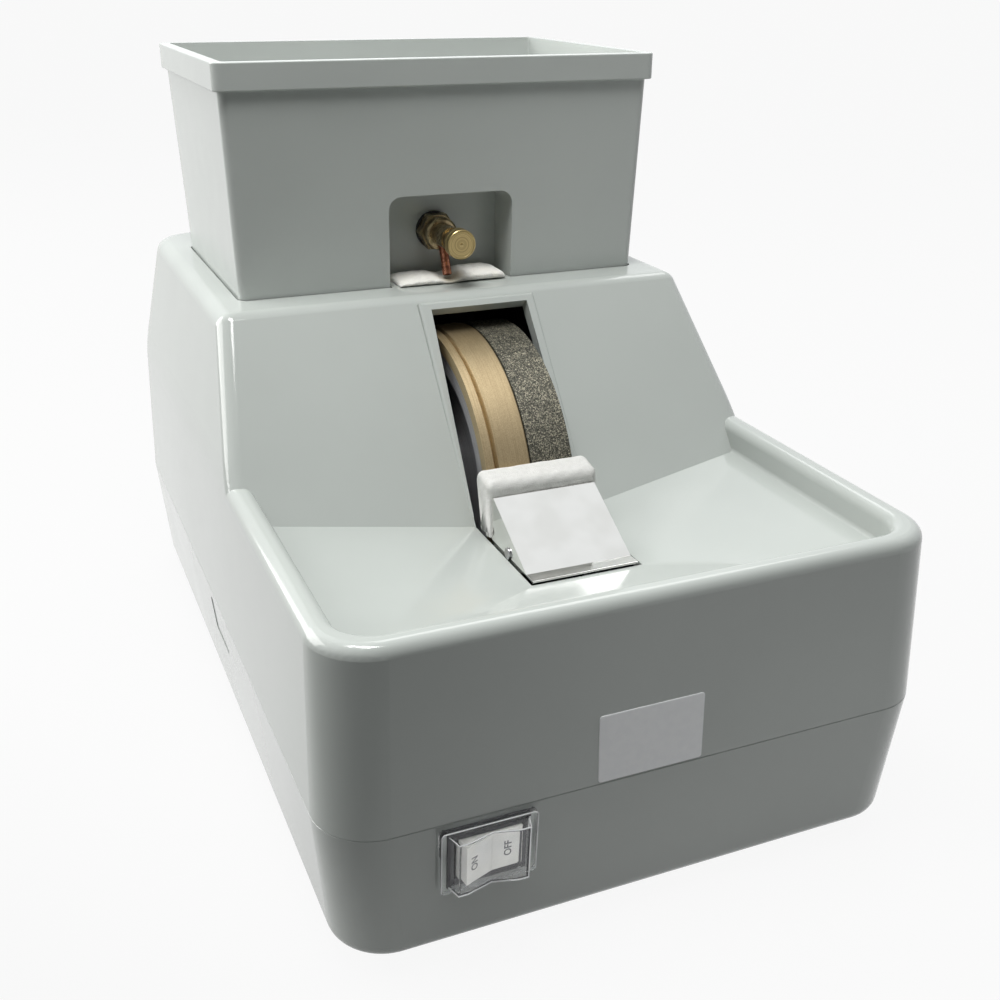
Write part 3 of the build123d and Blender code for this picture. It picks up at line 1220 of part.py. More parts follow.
def guard_plate():
    """Bent sheet: a sloping top, a back for the pad, two side flanges and a folded front lip."""
    t = GUARD_T
    down_y = t * sin(GUARD_RISE)
    down_z = -t * cos(GUARD_RISE)
    lip_y = PIVOT_Y - GUARD_LIP_AHEAD
    lip_z = PIVOT_H - GUARD_LIP_DROP
    cheek_z = PIVOT_H - CHEEK_DROP
    top = along_x([
        (GUARD_LOW_Y, GUARD_LOW_H), (GUARD_HIGH_Y, GUARD_HIGH_H),
        (GUARD_HIGH_Y + down_y, GUARD_HIGH_H + down_z), (GUARD_LOW_Y + down_y, GUARD_LOW_H + down_z),
    ], GUARD_X0, GUARD_X1)
    lip = along_x([
        (GUARD_LOW_Y + down_y, GUARD_LOW_H), (lip_y, lip_z), (lip_y, lip_z - t),
        (GUARD_LOW_Y + down_y, GUARD_LOW_H + down_z),
    ], GUARD_X0, GUARD_X1)
    cheek = [
        (GUARD_LOW_Y + down_y / 2, GUARD_LOW_H + down_z / 2),
        (GUARD_HIGH_Y + down_y / 2, GUARD_HIGH_H + down_z / 2),
        (GUARD_HIGH_Y, cheek_z), (PIVOT_Y - CHEEK_AHEAD, cheek_z),
    ]
    hem = edges_where(lip, lambda e: e.center().Y < lip_y + GUARD_HEM_R and e.bounding_box().size.X > t)
    plate = top + fillet(hem, GUARD_HEM_R)
    plate += along_x(cheek, GUARD_X0, GUARD_X0 + t)
    plate += along_x(cheek, GUARD_X1 - t, GUARD_X1)
    plate += block(GUARD_X0, GUARD_X1, GUARD_HIGH_Y, GUARD_BACK_Y, cheek_z, GUARD_HIGH_H)
    return plate - rod_x(PIN_R + RUN_GAP, GUARD_X0 - WALL, GUARD_X1 + WALL, PIVOT_Y, PIVOT_H)


def guard_pad():
    """Foam block glued behind the guard, its back just clear of the wheels."""
    touch = radians(PAD_TOUCH_ANGLE)
    touch_y = WHEEL_Y - (WHEEL_R + PAD_WHEEL_GAP) * cos(touch)
    touch_z = WHEEL_Z + (WHEEL_R + PAD_WHEEL_GAP) * sin(touch)
    low_z = PIVOT_H - PAD_DROP
    top_z = GUARD_HIGH_H + PAD_BACK_UP
    pad = along_x([
        (GUARD_BACK_Y, low_z), (touch_y + (low_z - touch_z) * tan(touch), low_z),
        (touch_y + (top_z - touch_z) * tan(touch), top_z), (GUARD_BACK_Y, GUARD_HIGH_H + PAD_FRONT_UP),
    ], GUARD_X0 - PAD_LEFT_OVER, GUARD_X1 + PAD_RIGHT_OVER)
    tops = edges_where(pad, lambda e: e.bounding_box().size.X > PAD_ROUND_R and e.center().Z > touch_z)
    return fillet(tops, PAD_ROUND_R)


def ear_faces():
    left = GUARD_X0 + GUARD_T + EAR_GAP
    right = GUARD_X1 - GUARD_T - EAR_GAP
    return left, right


def ear_outline():
    """An ear that leans back as it goes down, clear of the sheet when the guard is tilted up."""
    rise = atan2(EAR_KNEE_H - PIVOT_H, EAR_FOOT_Y0 + EAR_R - PIVOT_Y)
    across_y = EAR_R * sin(rise)
    across_z = EAR_R * cos(rise)
    return [
        (PIVOT_Y + across_y, PIVOT_H - across_z), (EAR_FOOT_Y0, EAR_KNEE_H), (EAR_FOOT_Y0, WEB_H),
        (EAR_FOOT_Y1, WEB_H), (EAR_FOOT_Y1, EAR_KNEE_H), (PIVOT_Y - across_y, PIVOT_H + across_z),
    ]


def guard_bracket():
    """A channel on the chamber's front wall, whose two ears hold the guard's pin."""
    left, right = ear_faces()
    t = EAR_T
    wall_y = CHAMBER_FRONT_Y + CHAMBER_T
    ear = ear_outline()
    channel = block(left, right, wall_y, EAR_FOOT_Y1, WEB_H, WEB_H + t)
    channel += block(left, right, wall_y, wall_y + t, WEB_H - TAB_TALL, WEB_H + t)
    for x in (left, right - t):
        channel += along_x(ear, x, x + t)
        channel += rod_x(EAR_R, x, x + t, PIVOT_Y, PIVOT_H)
    return channel - rod_x(PIN_R, left - WALL, right + WALL, PIVOT_Y, PIVOT_H)


def guard_pin():
    x0 = GUARD_X0 - PIN_END_GAP
    x1 = GUARD_X1 + PIN_END_GAP
    pin = rod_x(PIN_R, x0, x1, PIVOT_Y, PIVOT_H)
    pin += rod_x(PIN_HEAD_R, x0 - PIN_HEAD_T, x0, PIVOT_Y, PIVOT_H)
    return pin + rod_x(PIN_HEAD_R, x1, x1 + PIN_HEAD_T, PIVOT_Y, PIVOT_H)


# Switch, drawn about its own centre with -Y outwards


def switch_body():
    shell = block(-SWITCH_W / 2, SWITCH_W / 2, -BEZEL_T, SWITCH_D, -SWITCH_TALL / 2, SWITCH_TALL / 2)
    shell += block(-BEZEL_W / 2, BEZEL_W / 2, -BEZEL_T, 0, -BEZEL_H / 2, BEZEL_H / 2)
    shell -= block(-SWITCH_W / 2 + SWITCH_T, SWITCH_W / 2 - SWITCH_T, -WALL, SWITCH_FLOOR_D,
                   -SWITCH_TALL / 2 + SWITCH_T, SWITCH_TALL / 2 - SWITCH_T)
    for number in (-1, 0, 1):
        x = number * BLADE_PITCH
        shell += block(x - BLADE_T / 2, x + BLADE_T / 2, SWITCH_D, SWITCH_D + BLADE_L,
                       -BLADE_W / 2, BLADE_W / 2)
    return on_front(shell - pivot_rod(SWITCH_PIN_R, SWITCH_TALL - SWITCH_T))


def pivot_rod(radius, length):
    """An upright rod on the rocker's pivot line."""
    return Pos(0, ROCKER_PIVOT_D, 0) * Cylinder(radius, length)


def rocker_outline():
    half = ROCKER_W / 2
    return [
        (-half, -ROCKER_PROUD), (0, -ROCKER_PROUD + ROCKER_DISH), (half, -ROCKER_PROUD),
        (half, ROCKER_EDGE_D), (half / 2, ROCKER_BACK_D), (-half / 2, ROCKER_BACK_D),
        (-half, ROCKER_EDGE_D),
    ]


def switch_rocker():
    """The rocker with its OFF end, on the right, pressed in."""
    face = make_face(Polyline(*[(x, y, -ROCKER_TALL / 2) for x, y in rocker_outline()], close=True))
    body = extrude(face, amount=ROCKER_TALL, dir=(0, 0, 1))
    body -= pivot_rod(SWITCH_PIN_R + RUN_GAP, ROCKER_TALL + 2 * WALL)
    turn = Pos(0, ROCKER_PIVOT_D, 0) * Rot(0, 0, ROCKER_TRAVEL / 2) * Pos(0, -ROCKER_PIVOT_D, 0)
    return on_front(turn * body)


def switch_pin():
    return on_front(pivot_rod(SWITCH_PIN_R, SWITCH_TALL - SWITCH_T))


def boot_outline(skin):
    half = BOOT_HOOD_W / 2 - skin
    peak_x = half - BOOT_CORNER_R
    base = -BEZEL_T
    return [
        (-half, base), (-peak_x, -BOOT_PEAK + skin), (-peak_x + BOOT_CORNER_R * 2, -BOOT_PEAK + skin),
        (0, -BOOT_VALLEY + skin), (peak_x - BOOT_CORNER_R * 2, -BOOT_PEAK + skin),
        (peak_x, -BOOT_PEAK + skin),
        (half, base),
    ]


def boot_hood(skin):
    tall = BOOT_HOOD_TALL - 2 * skin
    face = make_face(Polyline(*[(x, y, -tall / 2) for x, y in boot_outline(skin)], close=True))
    return extrude(face, amount=tall, dir=(0, 0, 1))


def switch_boot():
    """The clear splash boot: a flat frame and a hood with two peaks over the rocker."""
    frame = block(-BOOT_W / 2, BOOT_W / 2, -BEZEL_T - BOOT_FLANGE_T, 0, -BOOT_TALL / 2, BOOT_TALL / 2)
    corners = edges_where(frame, lambda e: e.bounding_box().size.Y > BOOT_FLANGE_T)
    frame = fillet(corners, BOOT_CORNER_R)
    frame -= block(-BEZEL_W / 2, BEZEL_W / 2, -BEZEL_T, WALL, -BEZEL_H / 2, BEZEL_H / 2)
    inner = boot_hood(BOOT_SKIN)
    window = block(-BOOT_HOOD_W / 2 + BOOT_SKIN, BOOT_HOOD_W / 2 - BOOT_SKIN,
                   -BEZEL_T - BOOT_FLANGE_T - SEAT_GAP, 0, -BOOT_HOOD_TALL / 2 + BOOT_SKIN, BOOT_HOOD_TALL / 2 - BOOT_SKIN)
    return on_front(frame - window + (boot_hood(0) - inner))


# Feet, screws, gland and electrics


def rubber_feet():
    feet = []
    for x, y in corner_places(FOOT_X, FOOT_FRONT_IN, FOOT_Y_BACK):
        foot = turned_z([
            (FOOT_SCREW_R, -FOOT_H + FOOT_RECESS), (FOOT_SCREW_HEAD_R + SEAT_GAP, -FOOT_H + FOOT_RECESS),
            (FOOT_SCREW_HEAD_R + SEAT_GAP, -FOOT_H), (FOOT_R - FOOT_TAPER, -FOOT_H), (FOOT_R, 0),
            (FOOT_SCREW_R, 0)], x, y)
        feet.append(foot)
    return Compound(feet)


def foot_screws():
    seat = -FOOT_H + FOOT_RECESS
    return Compound([
        rod_z(FOOT_SCREW_R, seat, FOOT_BOSS_H, x, y)
        + rod_z(FOOT_SCREW_HEAD_R, seat - FOOT_SCREW_HEAD_H, seat, x, y)
        for x, y in corner_places(FOOT_X, FOOT_FRONT_IN, FOOT_Y_BACK)])


def housing_screws():
    return Compound([
        rod_z(POST_SCREW_R, POST_WELL_H, BASE_H + POST_SCREW_L, x, y)
        + rod_z(POST_SCREW_HEAD_R, POST_WELL_H - POST_SCREW_HEAD_H, POST_WELL_H, x, y)
        for x, y in corner_places(POST_X, POST_FRONT_IN, POST_Y_BACK)])


def back_wall_y(height):
    return BODY_D - BASE_DRAFT_Y * (1 - height / BASE_H)


def cord_gland():
    y_wall = back_wall_y(GLAND_H - GLAND_AF / 2)
    y_top = back_wall_y(GLAND_H + GLAND_AF / 2)
    hexagon = Pos(GLAND_X, y_top, GLAND_H) * hex_along("y", GLAND_AF, GLAND_HEX_T)
    dome = turned_y([
        (y_wall - GLAND_IN, 0), (y_wall - GLAND_IN, GLAND_R), (y_top + GLAND_HEX_T, GLAND_R),
        (y_top + GLAND_HEX_T, GLAND_DOME_R), (y_top + GLAND_OUT - GLAND_DOME_L, GLAND_DOME_R),
        (y_top + GLAND_OUT, GLAND_BORE_R + END_CHAMFER), (y_top + GLAND_OUT, 0)], GLAND_X, GLAND_H)
    body = hexagon + dome
    return body - rod_y(GLAND_BORE_R, y_wall - GLAND_IN - WALL, y_top + GLAND_OUT + WALL, GLAND_X, GLAND_H)


def gland_nut():
    y1 = back_wall_y(GLAND_H - GLAND_AF / 2) - WALL
    bar = Pos(GLAND_X, y1 - GLAND_NUT_T, GLAND_H) * hex_along("y", GLAND_AF, GLAND_NUT_T)
    return bar - rod_y(GLAND_R, y1 - GLAND_NUT_T - WALL, y1 + WALL, GLAND_X, GLAND_H)


def capacitor():
    y1 = CAN_Y0 + CAN_L
    can = turned_y([
        (CAN_Y0, 0), (CAN_Y0, CAN_R - END_CHAMFER), (CAN_Y0 + END_CHAMFER, CAN_R), (y1 - CAN_RIM_L, CAN_R),
        (y1 - CAN_RIM_L, CAN_R - END_CHAMFER), (y1, CAN_R - END_CHAMFER), (y1, 0)], CAN_X, CAN_H)
    for side in (-1, 1):
        x = CAN_X + side * CAN_R / 3
        can += block(x - CAN_TAG_T / 2, x + CAN_TAG_T / 2, y1 - CAN_RIM_L, y1 + CAN_TAG_L,
                     CAN_H - CAN_TAG_W / 2, CAN_H + CAN_TAG_W / 2)
    return can


def capacitor_clip():
    """A strap over the capacitor with a wing screwed down on each side."""
    y0 = CAN_Y0 + CAN_L / 2 - CLIP_W / 2
    y1 = y0 + CLIP_W
    out = CAN_R + CLIP_T
    strap = rod_y(out, y0, y1, CAN_X, CAN_H)
    strap += block(CAN_X - out, CAN_X + out, y0, y1, WALL, CAN_H)
    strap -= rod_y(CAN_R, y0 - WALL, y1 + WALL, CAN_X, CAN_H)
    strap -= block(CAN_X - CAN_R, CAN_X + CAN_R, y0 - WALL, y1 + WALL, WALL + CLIP_T, CAN_H)
    wing = block(CAN_X - out - CLIP_WING, CAN_X + out + CLIP_WING, y0, y1, WALL, WALL + CLIP_T)
    strap += wing
    for side in (-1, 1):
        wing_x = CAN_X + side * (out + CLIP_WING / 2)
        strap -= rod_z(MOTOR_SCREW_R, 0, WALL + 2 * CLIP_T, wing_x, (y0 + y1) / 2)
    return strap


def terminal_block():
    x0 = GLAND_X - TERMINAL_W / 2
    y0 = TERMINAL_Y - TERMINAL_D / 2
    top = WALL + TERMINAL_TALL
    body = block(x0, x0 + TERMINAL_W, y0, y0 + TERMINAL_D, WALL, top)
    pitch = TERMINAL_W / TERMINAL_WAYS
    for number in range(TERMINAL_WAYS):
        x = x0 + (number + 1 / 2) * pitch
        body -= rod_y(TERMINAL_HOLE_R, y0 - WALL, y0 + TERMINAL_D + WALL, x, WALL + TERMINAL_TALL / 2)
        body -= rod_z(TERMINAL_SLOT_R, WALL + TERMINAL_TALL / 2, top + WALL, x, TERMINAL_Y)
    return body


PIECES = [
    lower_base, rear_panel, panel_screws, upper_housing, side_latch, water_tank, tap_gasket,
    tap_hex_nut, tap_body, tap_spout,
    tap_back_nut, tap_knob, drip_sponge, bevel_wheel_rim, coarse_wheel_rim, bevel_wheel_core,
    coarse_wheel_core, outer_flange, inner_flange, wheel_nut, motor_shaft, front_bearing, rear_bearing,
    rotor, stator, motor_shell, motor_front_cap, motor_rear_cap, motor_bracket, motor_screws,
    bracket_screws, splash_chamber, shaft_seal, drain_spigot, drain_nut, guard_plate, guard_pad,
    guard_bracket, guard_pin, switch_body, switch_rocker, switch_pin, switch_boot, rubber_feet,
    foot_screws, housing_screws, cord_gland, gland_nut, capacitor, capacitor_clip, terminal_block,
]


def main():
    os.makedirs("parts", exist_ok=True)
    for piece in PIECES:
        shape = Pos(0, FRONT_Y, FOOT_H) * piece()
        export_step(shape, f"parts/{piece.__name__}.step")


if __name__ == "__main__":
    main()
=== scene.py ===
import math

import bpy
import numpy as np
from mathutils import Matrix, Vector


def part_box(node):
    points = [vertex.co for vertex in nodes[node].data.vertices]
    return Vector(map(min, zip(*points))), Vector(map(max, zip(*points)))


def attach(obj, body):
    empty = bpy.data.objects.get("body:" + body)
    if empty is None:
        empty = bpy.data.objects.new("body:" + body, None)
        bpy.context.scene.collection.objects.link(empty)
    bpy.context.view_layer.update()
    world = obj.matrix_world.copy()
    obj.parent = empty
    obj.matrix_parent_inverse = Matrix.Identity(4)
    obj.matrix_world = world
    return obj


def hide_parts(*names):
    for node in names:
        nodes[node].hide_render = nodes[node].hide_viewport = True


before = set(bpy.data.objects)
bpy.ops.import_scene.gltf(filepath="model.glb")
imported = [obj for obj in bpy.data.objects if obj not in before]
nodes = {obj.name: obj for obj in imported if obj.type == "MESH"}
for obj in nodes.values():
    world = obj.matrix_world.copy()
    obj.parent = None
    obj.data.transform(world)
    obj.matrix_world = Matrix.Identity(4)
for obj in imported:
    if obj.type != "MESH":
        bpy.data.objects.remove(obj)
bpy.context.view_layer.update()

# The camera stands to the left of the machine and over it, turned 23 degrees to the right
# and 24 degrees down. Its lens is 44 mm on a 36 mm frame.
camera_place = (-0.22353, -0.58234, 0.37434)
yaw, pitch, roll = math.radians(23.0788), math.radians(23.7294), math.radians(0.43755)
lens = bpy.data.cameras.new("camera")
lens.lens = 44.047
lens.sensor_width = 36.0
lens.clip_start = 0.02
ahead = Vector((
    math.sin(yaw) * math.cos(pitch), math.cos(yaw) * math.cos(pitch), -math.sin(pitch)))
side = Vector((math.cos(yaw), -math.sin(yaw), 0))
over = side.cross(ahead)
level = side * math.cos(roll) + over * math.sin(roll)
upward = over * math.cos(roll) - side * math.sin(roll)
facing = Matrix((level, upward, -ahead)).transposed().to_4x4()
camera = bpy.data.objects.new("camera", lens)
camera.matrix_world = Matrix.Translation(camera_place) @ facing
bpy.context.scene.collection.objects.link(camera)
bpy.context.scene.camera = camera
bpy.context.scene.view_settings.view_transform = "Standard"

# Soft daylight in a white room. For the light that falls on the machine the room is darker in
# front than behind and overhead. Gloss sees it brighter, and the camera and glass at full white.
room = bpy.data.worlds.new("room")
room.use_nodes = True
room_tree = room.node_tree
room_light = room_tree.nodes["Background"]
room_light.inputs["Color"].default_value = (0.97, 0.99, 1.0, 1)
room_ray = room_tree.nodes.new("ShaderNodeLightPath").outputs


def feed(tree, socket, term):
    """Set a socket to a number, or link another node's output to it."""
    if isinstance(term, (int, float)):
        socket.default_value = term
    else:
        tree.links.new(term, socket)


def axes_of(tree, coordinates):
    """The X, Y and Z of one kind of texture coordinates."""
    split = tree.nodes.new("ShaderNodeSeparateXYZ")
    feed(tree, split.inputs[0], tree.nodes.new("ShaderNodeTexCoord").outputs[coordinates])
    return split.outputs


def reckon(tree, operation, *terms):
    """One sum, in a Math node, on links and plain numbers in their order."""
    node = tree.nodes.new("ShaderNodeMath")
    node.operation = operation
    for socket, term in zip(node.inputs, terms):
        feed(tree, socket, term)
    return node.outputs[0]


def rise(tree, share, first, last, low, high, shape="SMOOTHSTEP"):
    """A value that rises from low to high as share goes from first to last."""
    span = tree.nodes.new("ShaderNodeMapRange")
    span.interpolation_type = shape
    sockets = ("Value", "From Min", "From Max", "To Min", "To Max")
    for socket, term in zip(sockets, (share, first, last, low, high)):
        feed(tree, span.inputs[socket], term)
    return span.outputs[0]


def where_ray(kind, otherwise, seen):
    """The strength of the room that one kind of ray sees, or else another."""
    pick = room_tree.nodes.new("ShaderNodeMix")
    pick.data_type = "FLOAT"
    feed(room_tree, pick.inputs["Factor"], room_ray[kind])
    feed(room_tree, pick.inputs["A"], otherwise)
    feed(room_tree, pick.inputs["B"], seen)
    return pick.outputs["Result"]


room_axes = axes_of(room_tree, "Generated")
walls = rise(room_tree, room_axes["Y"], -0.75, 0.15, 0.012, 0.29)
ceiling_way = reckon(room_tree, "MULTIPLY_ADD", room_axes["Y"], -0.08, room_axes["Z"])
ceiling = rise(room_tree, ceiling_way, 0.6, 0.98, 0.0, 0.95)
shine = rise(room_tree, room_axes["Y"], -0.75, 0.15, 0.30, 1.0)
strength = where_ray("Is Glossy Ray", reckon(room_tree, "ADD", walls, ceiling), shine)
strength = where_ray("Is Transmission Ray", strength, 1.0)
strength = where_ray("Is Camera Ray", strength, 1.0)
feed(room_tree, room_light.inputs["Strength"], strength)
bpy.context.scene.world = room


def window_light(name, place, aim, width, height, power, colour):
    """A rectangle of light that stands at a place and faces the point it is aimed at."""
    lamp = bpy.data.lights.new(name, "AREA")
    lamp.shape = "RECTANGLE"
    lamp.size, lamp.size_y = width, height
    lamp.energy = power
    lamp.color = colour
    stand = bpy.data.objects.new(name, lamp)
    turn = (Vector(aim) - Vector(place)).to_track_quat("-Z", "Y")
    stand.matrix_world = Matrix.Translation(place) @ turn.to_matrix().to_4x4()
    bpy.context.scene.collection.objects.link(stand)


window_light(
    "left_window", (-1.35, 1.0, 0.85), (0, 0, 0.12), 1.5, 1.2, 28, (1.0, 0.99, 0.97))
window_light(
    "roof_window", (-0.18, -0.15, 1.0), (0, -0.04, 0.15), 0.42, 0.26, 5.9, (1.0, 0.995, 0.98))
window_light("rear_window", (0.6, 0.75, 1.3), (0, 0, 0.15), 0.9, 0.5, 4.2, (1.0, 1.0, 1.0))

# The floor is a plain pale sheet. It is nearly white to the eye and keeps a faint shadow.
# Its colour, and the white that gloss sees in it, are painted darker towards the front left as
# painted shade away from the window, so it sends less light back from there.
reach = 30.0
floor_mesh = bpy.data.meshes.new("floor")
floor_mesh.from_pydata(
    [(-reach, -reach, 0), (reach, -reach, 0), (reach, reach, 0), (-reach, reach, 0)],
    [], [(0, 1, 2, 3)])
floor = bpy.data.objects.new("floor", floor_mesh)
bpy.context.scene.collection.objects.link(floor)
paper = bpy.data.materials.new("white_paper")
paper.use_nodes = True
paper_tree = paper.node_tree
paper_shader = paper_tree.nodes["Principled BSDF"]
paper_shader.inputs["Roughness"].default_value = 0.9
paper_glow = paper_tree.nodes.new("ShaderNodeEmission")
paper_glow.inputs["Color"].default_value = (1, 1, 1, 1)
paper_white = 0.92
paper_axes = axes_of(paper_tree, "Object")
paper_ray = paper_tree.nodes.new("ShaderNodeLightPath").outputs
# Painted shade: along this way the floor's colour and its gleam grow darker towards the front
# left.
backward = reckon(paper_tree, "MULTIPLY_ADD", paper_axes["X"], 1.6, paper_axes["Y"])
paper_painted_shade = rise(paper_tree, backward, -0.75, -0.25, 0.09, 0.42)
paper_gleam_painted_shade = rise(paper_tree, backward, -0.65, -0.2, 0.15, paper_white)
paper_plain = reckon(
    paper_tree, "MAXIMUM", paper_ray["Is Camera Ray"], paper_ray["Is Transmission Ray"])
paper_share = reckon(
    paper_tree, "MAXIMUM", reckon(paper_tree, "MULTIPLY", paper_plain, paper_white),
    reckon(paper_tree, "MULTIPLY", paper_ray["Is Glossy Ray"], paper_gleam_painted_shade))
paper_mix = paper_tree.nodes.new("ShaderNodeMixShader")
feed(paper_tree, paper_shader.inputs["Base Color"], paper_painted_shade)
feed(paper_tree, paper_mix.inputs[0], paper_share)
feed(paper_tree, paper_mix.inputs[1], paper_shader.outputs[0])
feed(paper_tree, paper_mix.inputs[2], paper_glow.outputs[0])
feed(paper_tree, paper_tree.nodes["Material Output"].inputs["Surface"], paper_mix.outputs[0])
floor_mesh.materials.append(paper)

# The two housing shells are moulded in one grey glossy plastic. Its walls are slightly wavy
# where they cooled over the ribs, and the gloss carries a very fine orange peel.


def finish_of(name, colour, roughness, metallic=0.0):
    """A new material with these plain values: its tree, its shader and its Object coordinates."""
    material = bpy.data.materials.new(name)
    material.use_nodes = True
    tree = material.node_tree
    shader = tree.nodes["Principled BSDF"]
    shader.inputs["Base Color"].default_value = (*colour, 1)
    shader.inputs["Roughness"].default_value = roughness
    shader.inputs["Metallic"].default_value = metallic
    return material, tree, shader, tree.nodes.new("ShaderNodeTexCoord").outputs["Object"]


def mottle(tree, where, per_metre, detail=2.0, stretch=(1, 1, 1)):
    """Soft noise with so many patches to the metre, each axis drawn closer by stretch."""
    spread = tree.nodes.new("ShaderNodeMapping")
    spread.inputs["Scale"].default_value = stretch
    noise = tree.nodes.new("ShaderNodeTexNoise")
    noise.inputs["Scale"].default_value = per_metre
    noise.inputs["Detail"].default_value = detail
    feed(tree, spread.inputs["Vector"], where)
    feed(tree, noise.inputs["Vector"], spread.outputs[0])
    return noise.outputs["Fac"]


def tint(tree, shader, share, dark, light, low=0.35, high=0.65):
    """Colour that runs from dark to light as share goes from low to high."""
    ramp = tree.nodes.new("ShaderNodeValToRGB")
    ramp.color_ramp.interpolation = "EASE"
    for stop, place, colour in zip(ramp.color_ramp.elements, (low, high), (dark, light)):
        stop.position = place
        stop.color = (*colour, 1)
    feed(tree, ramp.inputs[0], share)
    feed(tree, shader.inputs["Base Color"], ramp.outputs[0])
    return ramp


def gloss(tree, shader, share, low, high):
    """Roughness that runs from low to high as share goes from 0.3 to 0.7."""
    feed(tree, shader.inputs["Roughness"], rise(tree, share, 0.3, 0.7, low, high))


def relief(tree, shader, height, depth, under=None):
    """A bump of so many metres from height 0 to 1, laid over another bump."""
    bump = tree.nodes.new("ShaderNodeBump")
    bump.inputs["Strength"].default_value = 1.0
    bump.inputs["Distance"].default_value = depth
    feed(tree, bump.inputs["Height"], height)
    if under is not None:
        feed(tree, bump.inputs["Normal"], under.outputs[0])
    feed(tree, shader.inputs["Normal"], bump.outputs[0])
    return bump


def dress(material, *names):
    """Give CAD nodes a material."""
    for name in names:
        nodes[name].data.materials.clear()
        nodes[name].data.materials.append(material)


def moulded(name, colour, smooth, rough, wave):
    """Glossy moulded plastic: faint tone patches, wavy walls and orange peel."""
    material, tree, shader, where = finish_of(name, colour, smooth)
    dark, light = [c * 0.97 for c in colour], [c * 1.03 for c in colour]
    tint(tree, shader, mottle(tree, where, 9, 3), dark, light, 0.25, 0.75)
    gloss(tree, shader, mottle(tree, where, 18, 2), smooth, rough)
    slow = relief(tree, shader, mottle(tree, where, 11, 1), wave)
    relief(tree, shader, mottle(tree, where, 620, 1), 1.2e-6, slow)
    return material


shell_plastic = moulded("shell_plastic", (0.446, 0.474, 0.452), 0.09, 0.14, 0.0004)
dress(shell_plastic, "upper_housing", "lower_base", "side_latch")

# A small plate is stuck on the front over the parting line. It is satin film on card,
# blank here, with its edge rolled down to the plastic.
plate_left, plate_right = -0.028, 0.020
plate_low, plate_high = 0.0727, 0.1035
plate_corner = 0.0014
front_foot_y, front_foot_z = -0.226, 0.072
front_lean = math.atan2(0.003, 0.081)


def rounded_outline(corners, radii, steps=6):
    """Points round a closed outline of corners, each corner an arc of its own radius.

    An arc's centre lies on the corner's bisector, radius / sin(half the corner's angle) away."""
    corners = np.asarray(corners, float)
    befores, afters = np.roll(corners, 1, 0), np.roll(corners, -1, 0)
    points = []
    for before, here, after, radius in zip(befores, corners, afters, radii):
        back = (before - here) / np.linalg.norm(before - here)
        on = (after - here) / np.linalg.norm(after - here)
        half = math.acos(np.clip(back @ on, -1, 1)) / 2
        middle = (back + on) / np.linalg.norm(back + on)
        centre = here + middle * radius / math.sin(half)
        start = here + back * radius / math.tan(half) - centre
        end = here + on * radius / math.tan(half) - centre
        first = math.atan2(start[1], start[0])
        sweep = (math.atan2(end[1], end[0]) - first + math.pi) % (2 * math.pi) - math.pi
        turn = first + sweep * np.linspace(0, 1, steps + 1)
        points.append(centre + radius * np.stack([np.cos(turn), np.sin(turn)], 1))
    return np.concatenate(points)


def skin(name, rings, body, material, sharp=60):
    """A closed skin over rings of points, each ring joined to the next, with a fan on each end.

    rings[i, j] is point j of ring i. The faces are turned so that the volume is positive: a
    sixth of the sum, over the triangles, of one corner dotted with the cross product of the
    other two. Edges past sharp degrees stay crisp."""
    count, around = rings.shape[:2]
    points = np.concatenate([rings.reshape(-1, 3), rings[:1].mean(1), rings[-1:].mean(1)])
    i, j = np.meshgrid(np.arange(count - 1), np.arange(around), indexing="ij")
    k = (j + 1) % around
    walls = np.stack(
        [i * around + j, i * around + k, (i + 1) * around + k, (i + 1) * around + j],
        -1).reshape(-1, 4)
    j, k, last = j[0], k[0], (count - 1) * around
    fans = np.concatenate([
        np.stack([k, j, np.full(around, count * around)], 1),
        np.stack([last + j, last + k, np.full(around, count * around + 1)], 1)])
    triangles = points[np.concatenate([walls[:, [0, 1, 2]], walls[:, [0, 2, 3]], fans])]
    normals = np.cross(triangles[:, 1], triangles[:, 2])
    if np.einsum("ij,ij->", triangles[:, 0], normals) < 0:
        walls, fans = walls[:, ::-1], fans[:, ::-1]
    mesh = bpy.data.meshes.new(name)
    mesh.from_pydata(points, [], walls.tolist() + fans.tolist())
    mesh.polygons.foreach_set("use_smooth", np.ones(len(mesh.polygons), bool))
    mesh.set_sharp_from_angle(angle=math.radians(sharp))
    mesh.materials.append(material)
    piece = bpy.data.objects.new(name, mesh)
    bpy.context.scene.collection.objects.link(piece)
    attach(piece, body)
    return piece


def on_plane(flat, origin, right, up, lift):
    """Flat points (u, v) set at origin + u right + v up, raised by lift along right x up."""
    right, up = np.asarray(right, float), np.asarray(up, float)
    return origin + flat[:, :1] * right + flat[:, 1:] * up + lift * np.cross(right, up)


def worn_finish(name, colour, roughness, patches, dark, light, depth=None, metallic=0.0,
                ends=(0.35, 0.65), rough=None, grain=None, more=()):
    """A finish whose colour, and its gloss where rough is given, vary in the same patches.

    Its bump follows the patches too, or a grain of its own. Patches and grain are given as
    mottle takes them, and more holds further sockets of the shader with their values."""
    material, tree, shader, where = finish_of(name, colour, roughness, metallic)
    share = mottle(tree, where, *patches)
    tint(tree, shader, share, dark, light, *ends)
    if rough:
        gloss(tree, shader, share, *rough)
    if depth:
        relief(tree, shader, mottle(tree, where, *grain) if grain else share, depth)
    for socket, value in more:
        shader.inputs[socket].default_value = value
    return material


